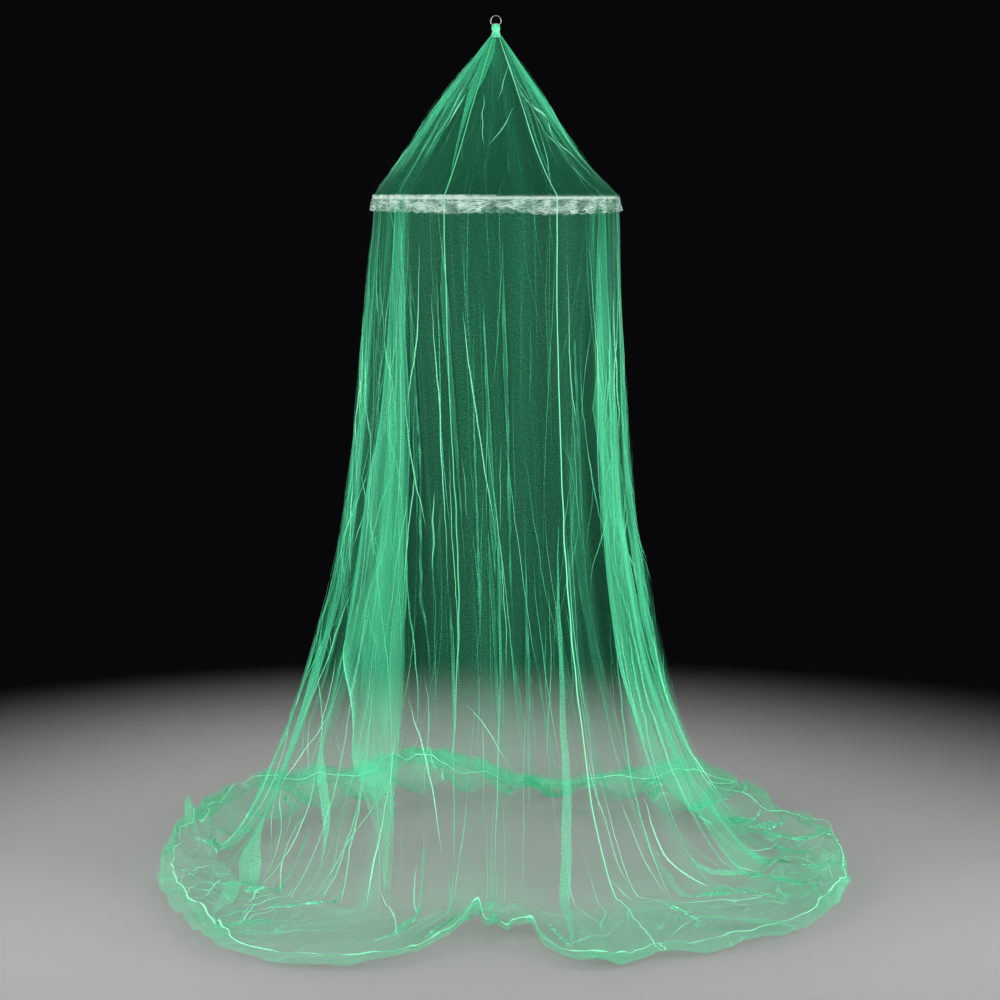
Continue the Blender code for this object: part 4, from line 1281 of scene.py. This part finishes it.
# %% Dress the pieces
net_finish = net_material()
thread = thread_material("green binding", (0.22, 0.90, 0.50, 1))
dressing = (
    (panel_right, "net_panel_right", net_finish, "green_net"),
    (panel_left, "net_panel_left", net_finish, "green_net"),
    (seam_front, "seam_front", thread, "green_binding"),
    (seam_back, "seam_back", thread, "green_binding"),
    (binding, "hem_binding", thread, "green_binding"),
    (heading, "lace_heading", lace_material("lace tape", 0.95, 0.8, 0.12), "white_lace"),
    (frill, "lace_frill", lace_material("white lace", 0.68, 0.05, 1.0), "white_lace"),
    (hoop, "hoop", plastic_material(), "hoop_plastic"),
    (neck_piece, "neck_binding", gathered_material(), "green_binding"),
    (tie, "neck_binding", thread, "green_binding"),
    (ring, "hang_ring", steel_material(), "ring_steel"),
)
for piece, node, material, slot in dressing:
    piece.data.materials.append(material)
    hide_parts(node)
print("dressed", len(dressing), "pieces")

# %% [markdown]
# ## Cloth facts
# The area of each sheet's mesh as it lies, for whoever simulates or sews it.

# %% Sheets
for piece in (panel_right, panel_left, heading, frill):
    print(piece.name, "area", round(sum(face.area for face in piece.data.polygons), 3), "m2")

# %% [markdown]
# ## Floor, lights and backdrop
# The floor is a plain pale disc that fades out into a dark surround. Sheer net needs a dark
# surround to be seen at all, and a pale floor shows the pool's shadows.

# %% Floor
FLOOR_RADIUS = 3.3
FLOOR_GAP = 0.0005


def floor_disc():
    """Flat disc of rings and spokes just under the net, with an opacity that fades with the radius."""
    turn = np.linspace(0, FULL_TURN, 96, endpoint=False)
    radius = np.linspace(0.001, FLOOR_RADIUS, 24)[:, None]
    x, y, z = np.broadcast_arrays(radius * np.cos(turn), radius * np.sin(turn), FLOOR_Z - FLOOR_GAP)
    faces = square_faces(x.shape, closed=True).tolist() + [list(range(len(turn)))]
    mesh = bpy.data.meshes.new("floor")
    mesh.from_pydata(np.stack((x, y, z), axis=-1).reshape(-1, 3).tolist(), [], faces)
    material, shader, place = new_material("floor", (0.33, 0.33, 0.32, 1), 0.9, False)
    flat = add(shader.id_data, "VectorMath", {0: place, 1: (1, 1, 0)}, operation='MULTIPLY').outputs[0]
    away = add(shader.id_data, "VectorMath", {0: flat}, operation='LENGTH').outputs["Value"]
    feed(shader, Alpha=soft_range(away, 1.1, 2.9, 1, 0))
    mesh.materials.append(material)
    disc = place_object("floor", mesh)
    print("floor", len(faces), "faces")


floor_disc()

# %% [markdown]
# The lamps are large and soft: two at the sides rake the folds, and one at the front and one at the
# back fill in. Only the camera sees the surround as dark, and it still lights the cloth a little.

# %% Lights and surround
LAMP_AIM = (0, 0, -1.0)
# name: place, width, height, power
LAMPS = {
    "left": ((-2.8, -1.8, -0.9), 1.4, 2.2, 110),
    "right": ((2.8, -1.5, -0.9), 1.4, 2.2, 100),
    "front": ((0.6, -4.5, -0.4), 2.5, 1.8, 80),
    "back": ((-1.2, 4.2, -0.3), 2.5, 1.8, 70),
}
AMBIENT, SURROUND = (0.22, 0.23, 0.23, 1), (0.0025, 0.0025, 0.003, 1)

for name, (place, wide, high, power) in LAMPS.items():
    lamp = place_object(name + "_lamp", bpy.data.lights.new(name, 'AREA'))
    light = lamp.data
    light.shape, light.size, light.size_y, light.energy = 'RECTANGLE', wide, high, power
    lamp.location = place
    lamp.rotation_euler = Vector(np.subtract(LAMP_AIM, place)).to_track_quat('-Z', 'Y').to_euler()
    lamp.visible_camera = False

scene = bpy.context.scene
scene.world = bpy.data.worlds.new("surround")
scene.world.use_nodes = True
sky = scene.world.node_tree
seen = add(sky, "LightPath").outputs["Is Camera Ray"]
feed(sky.nodes["Background"], Color=mixed(seen, AMBIENT, SURROUND))
scene.view_settings.view_transform = 'Standard'
scene.cycles.transparent_max_bounces = 40
scene.cycles.max_bounces = 3
scene.cycles.use_denoising = True
print(len(LAMPS), "lamps")
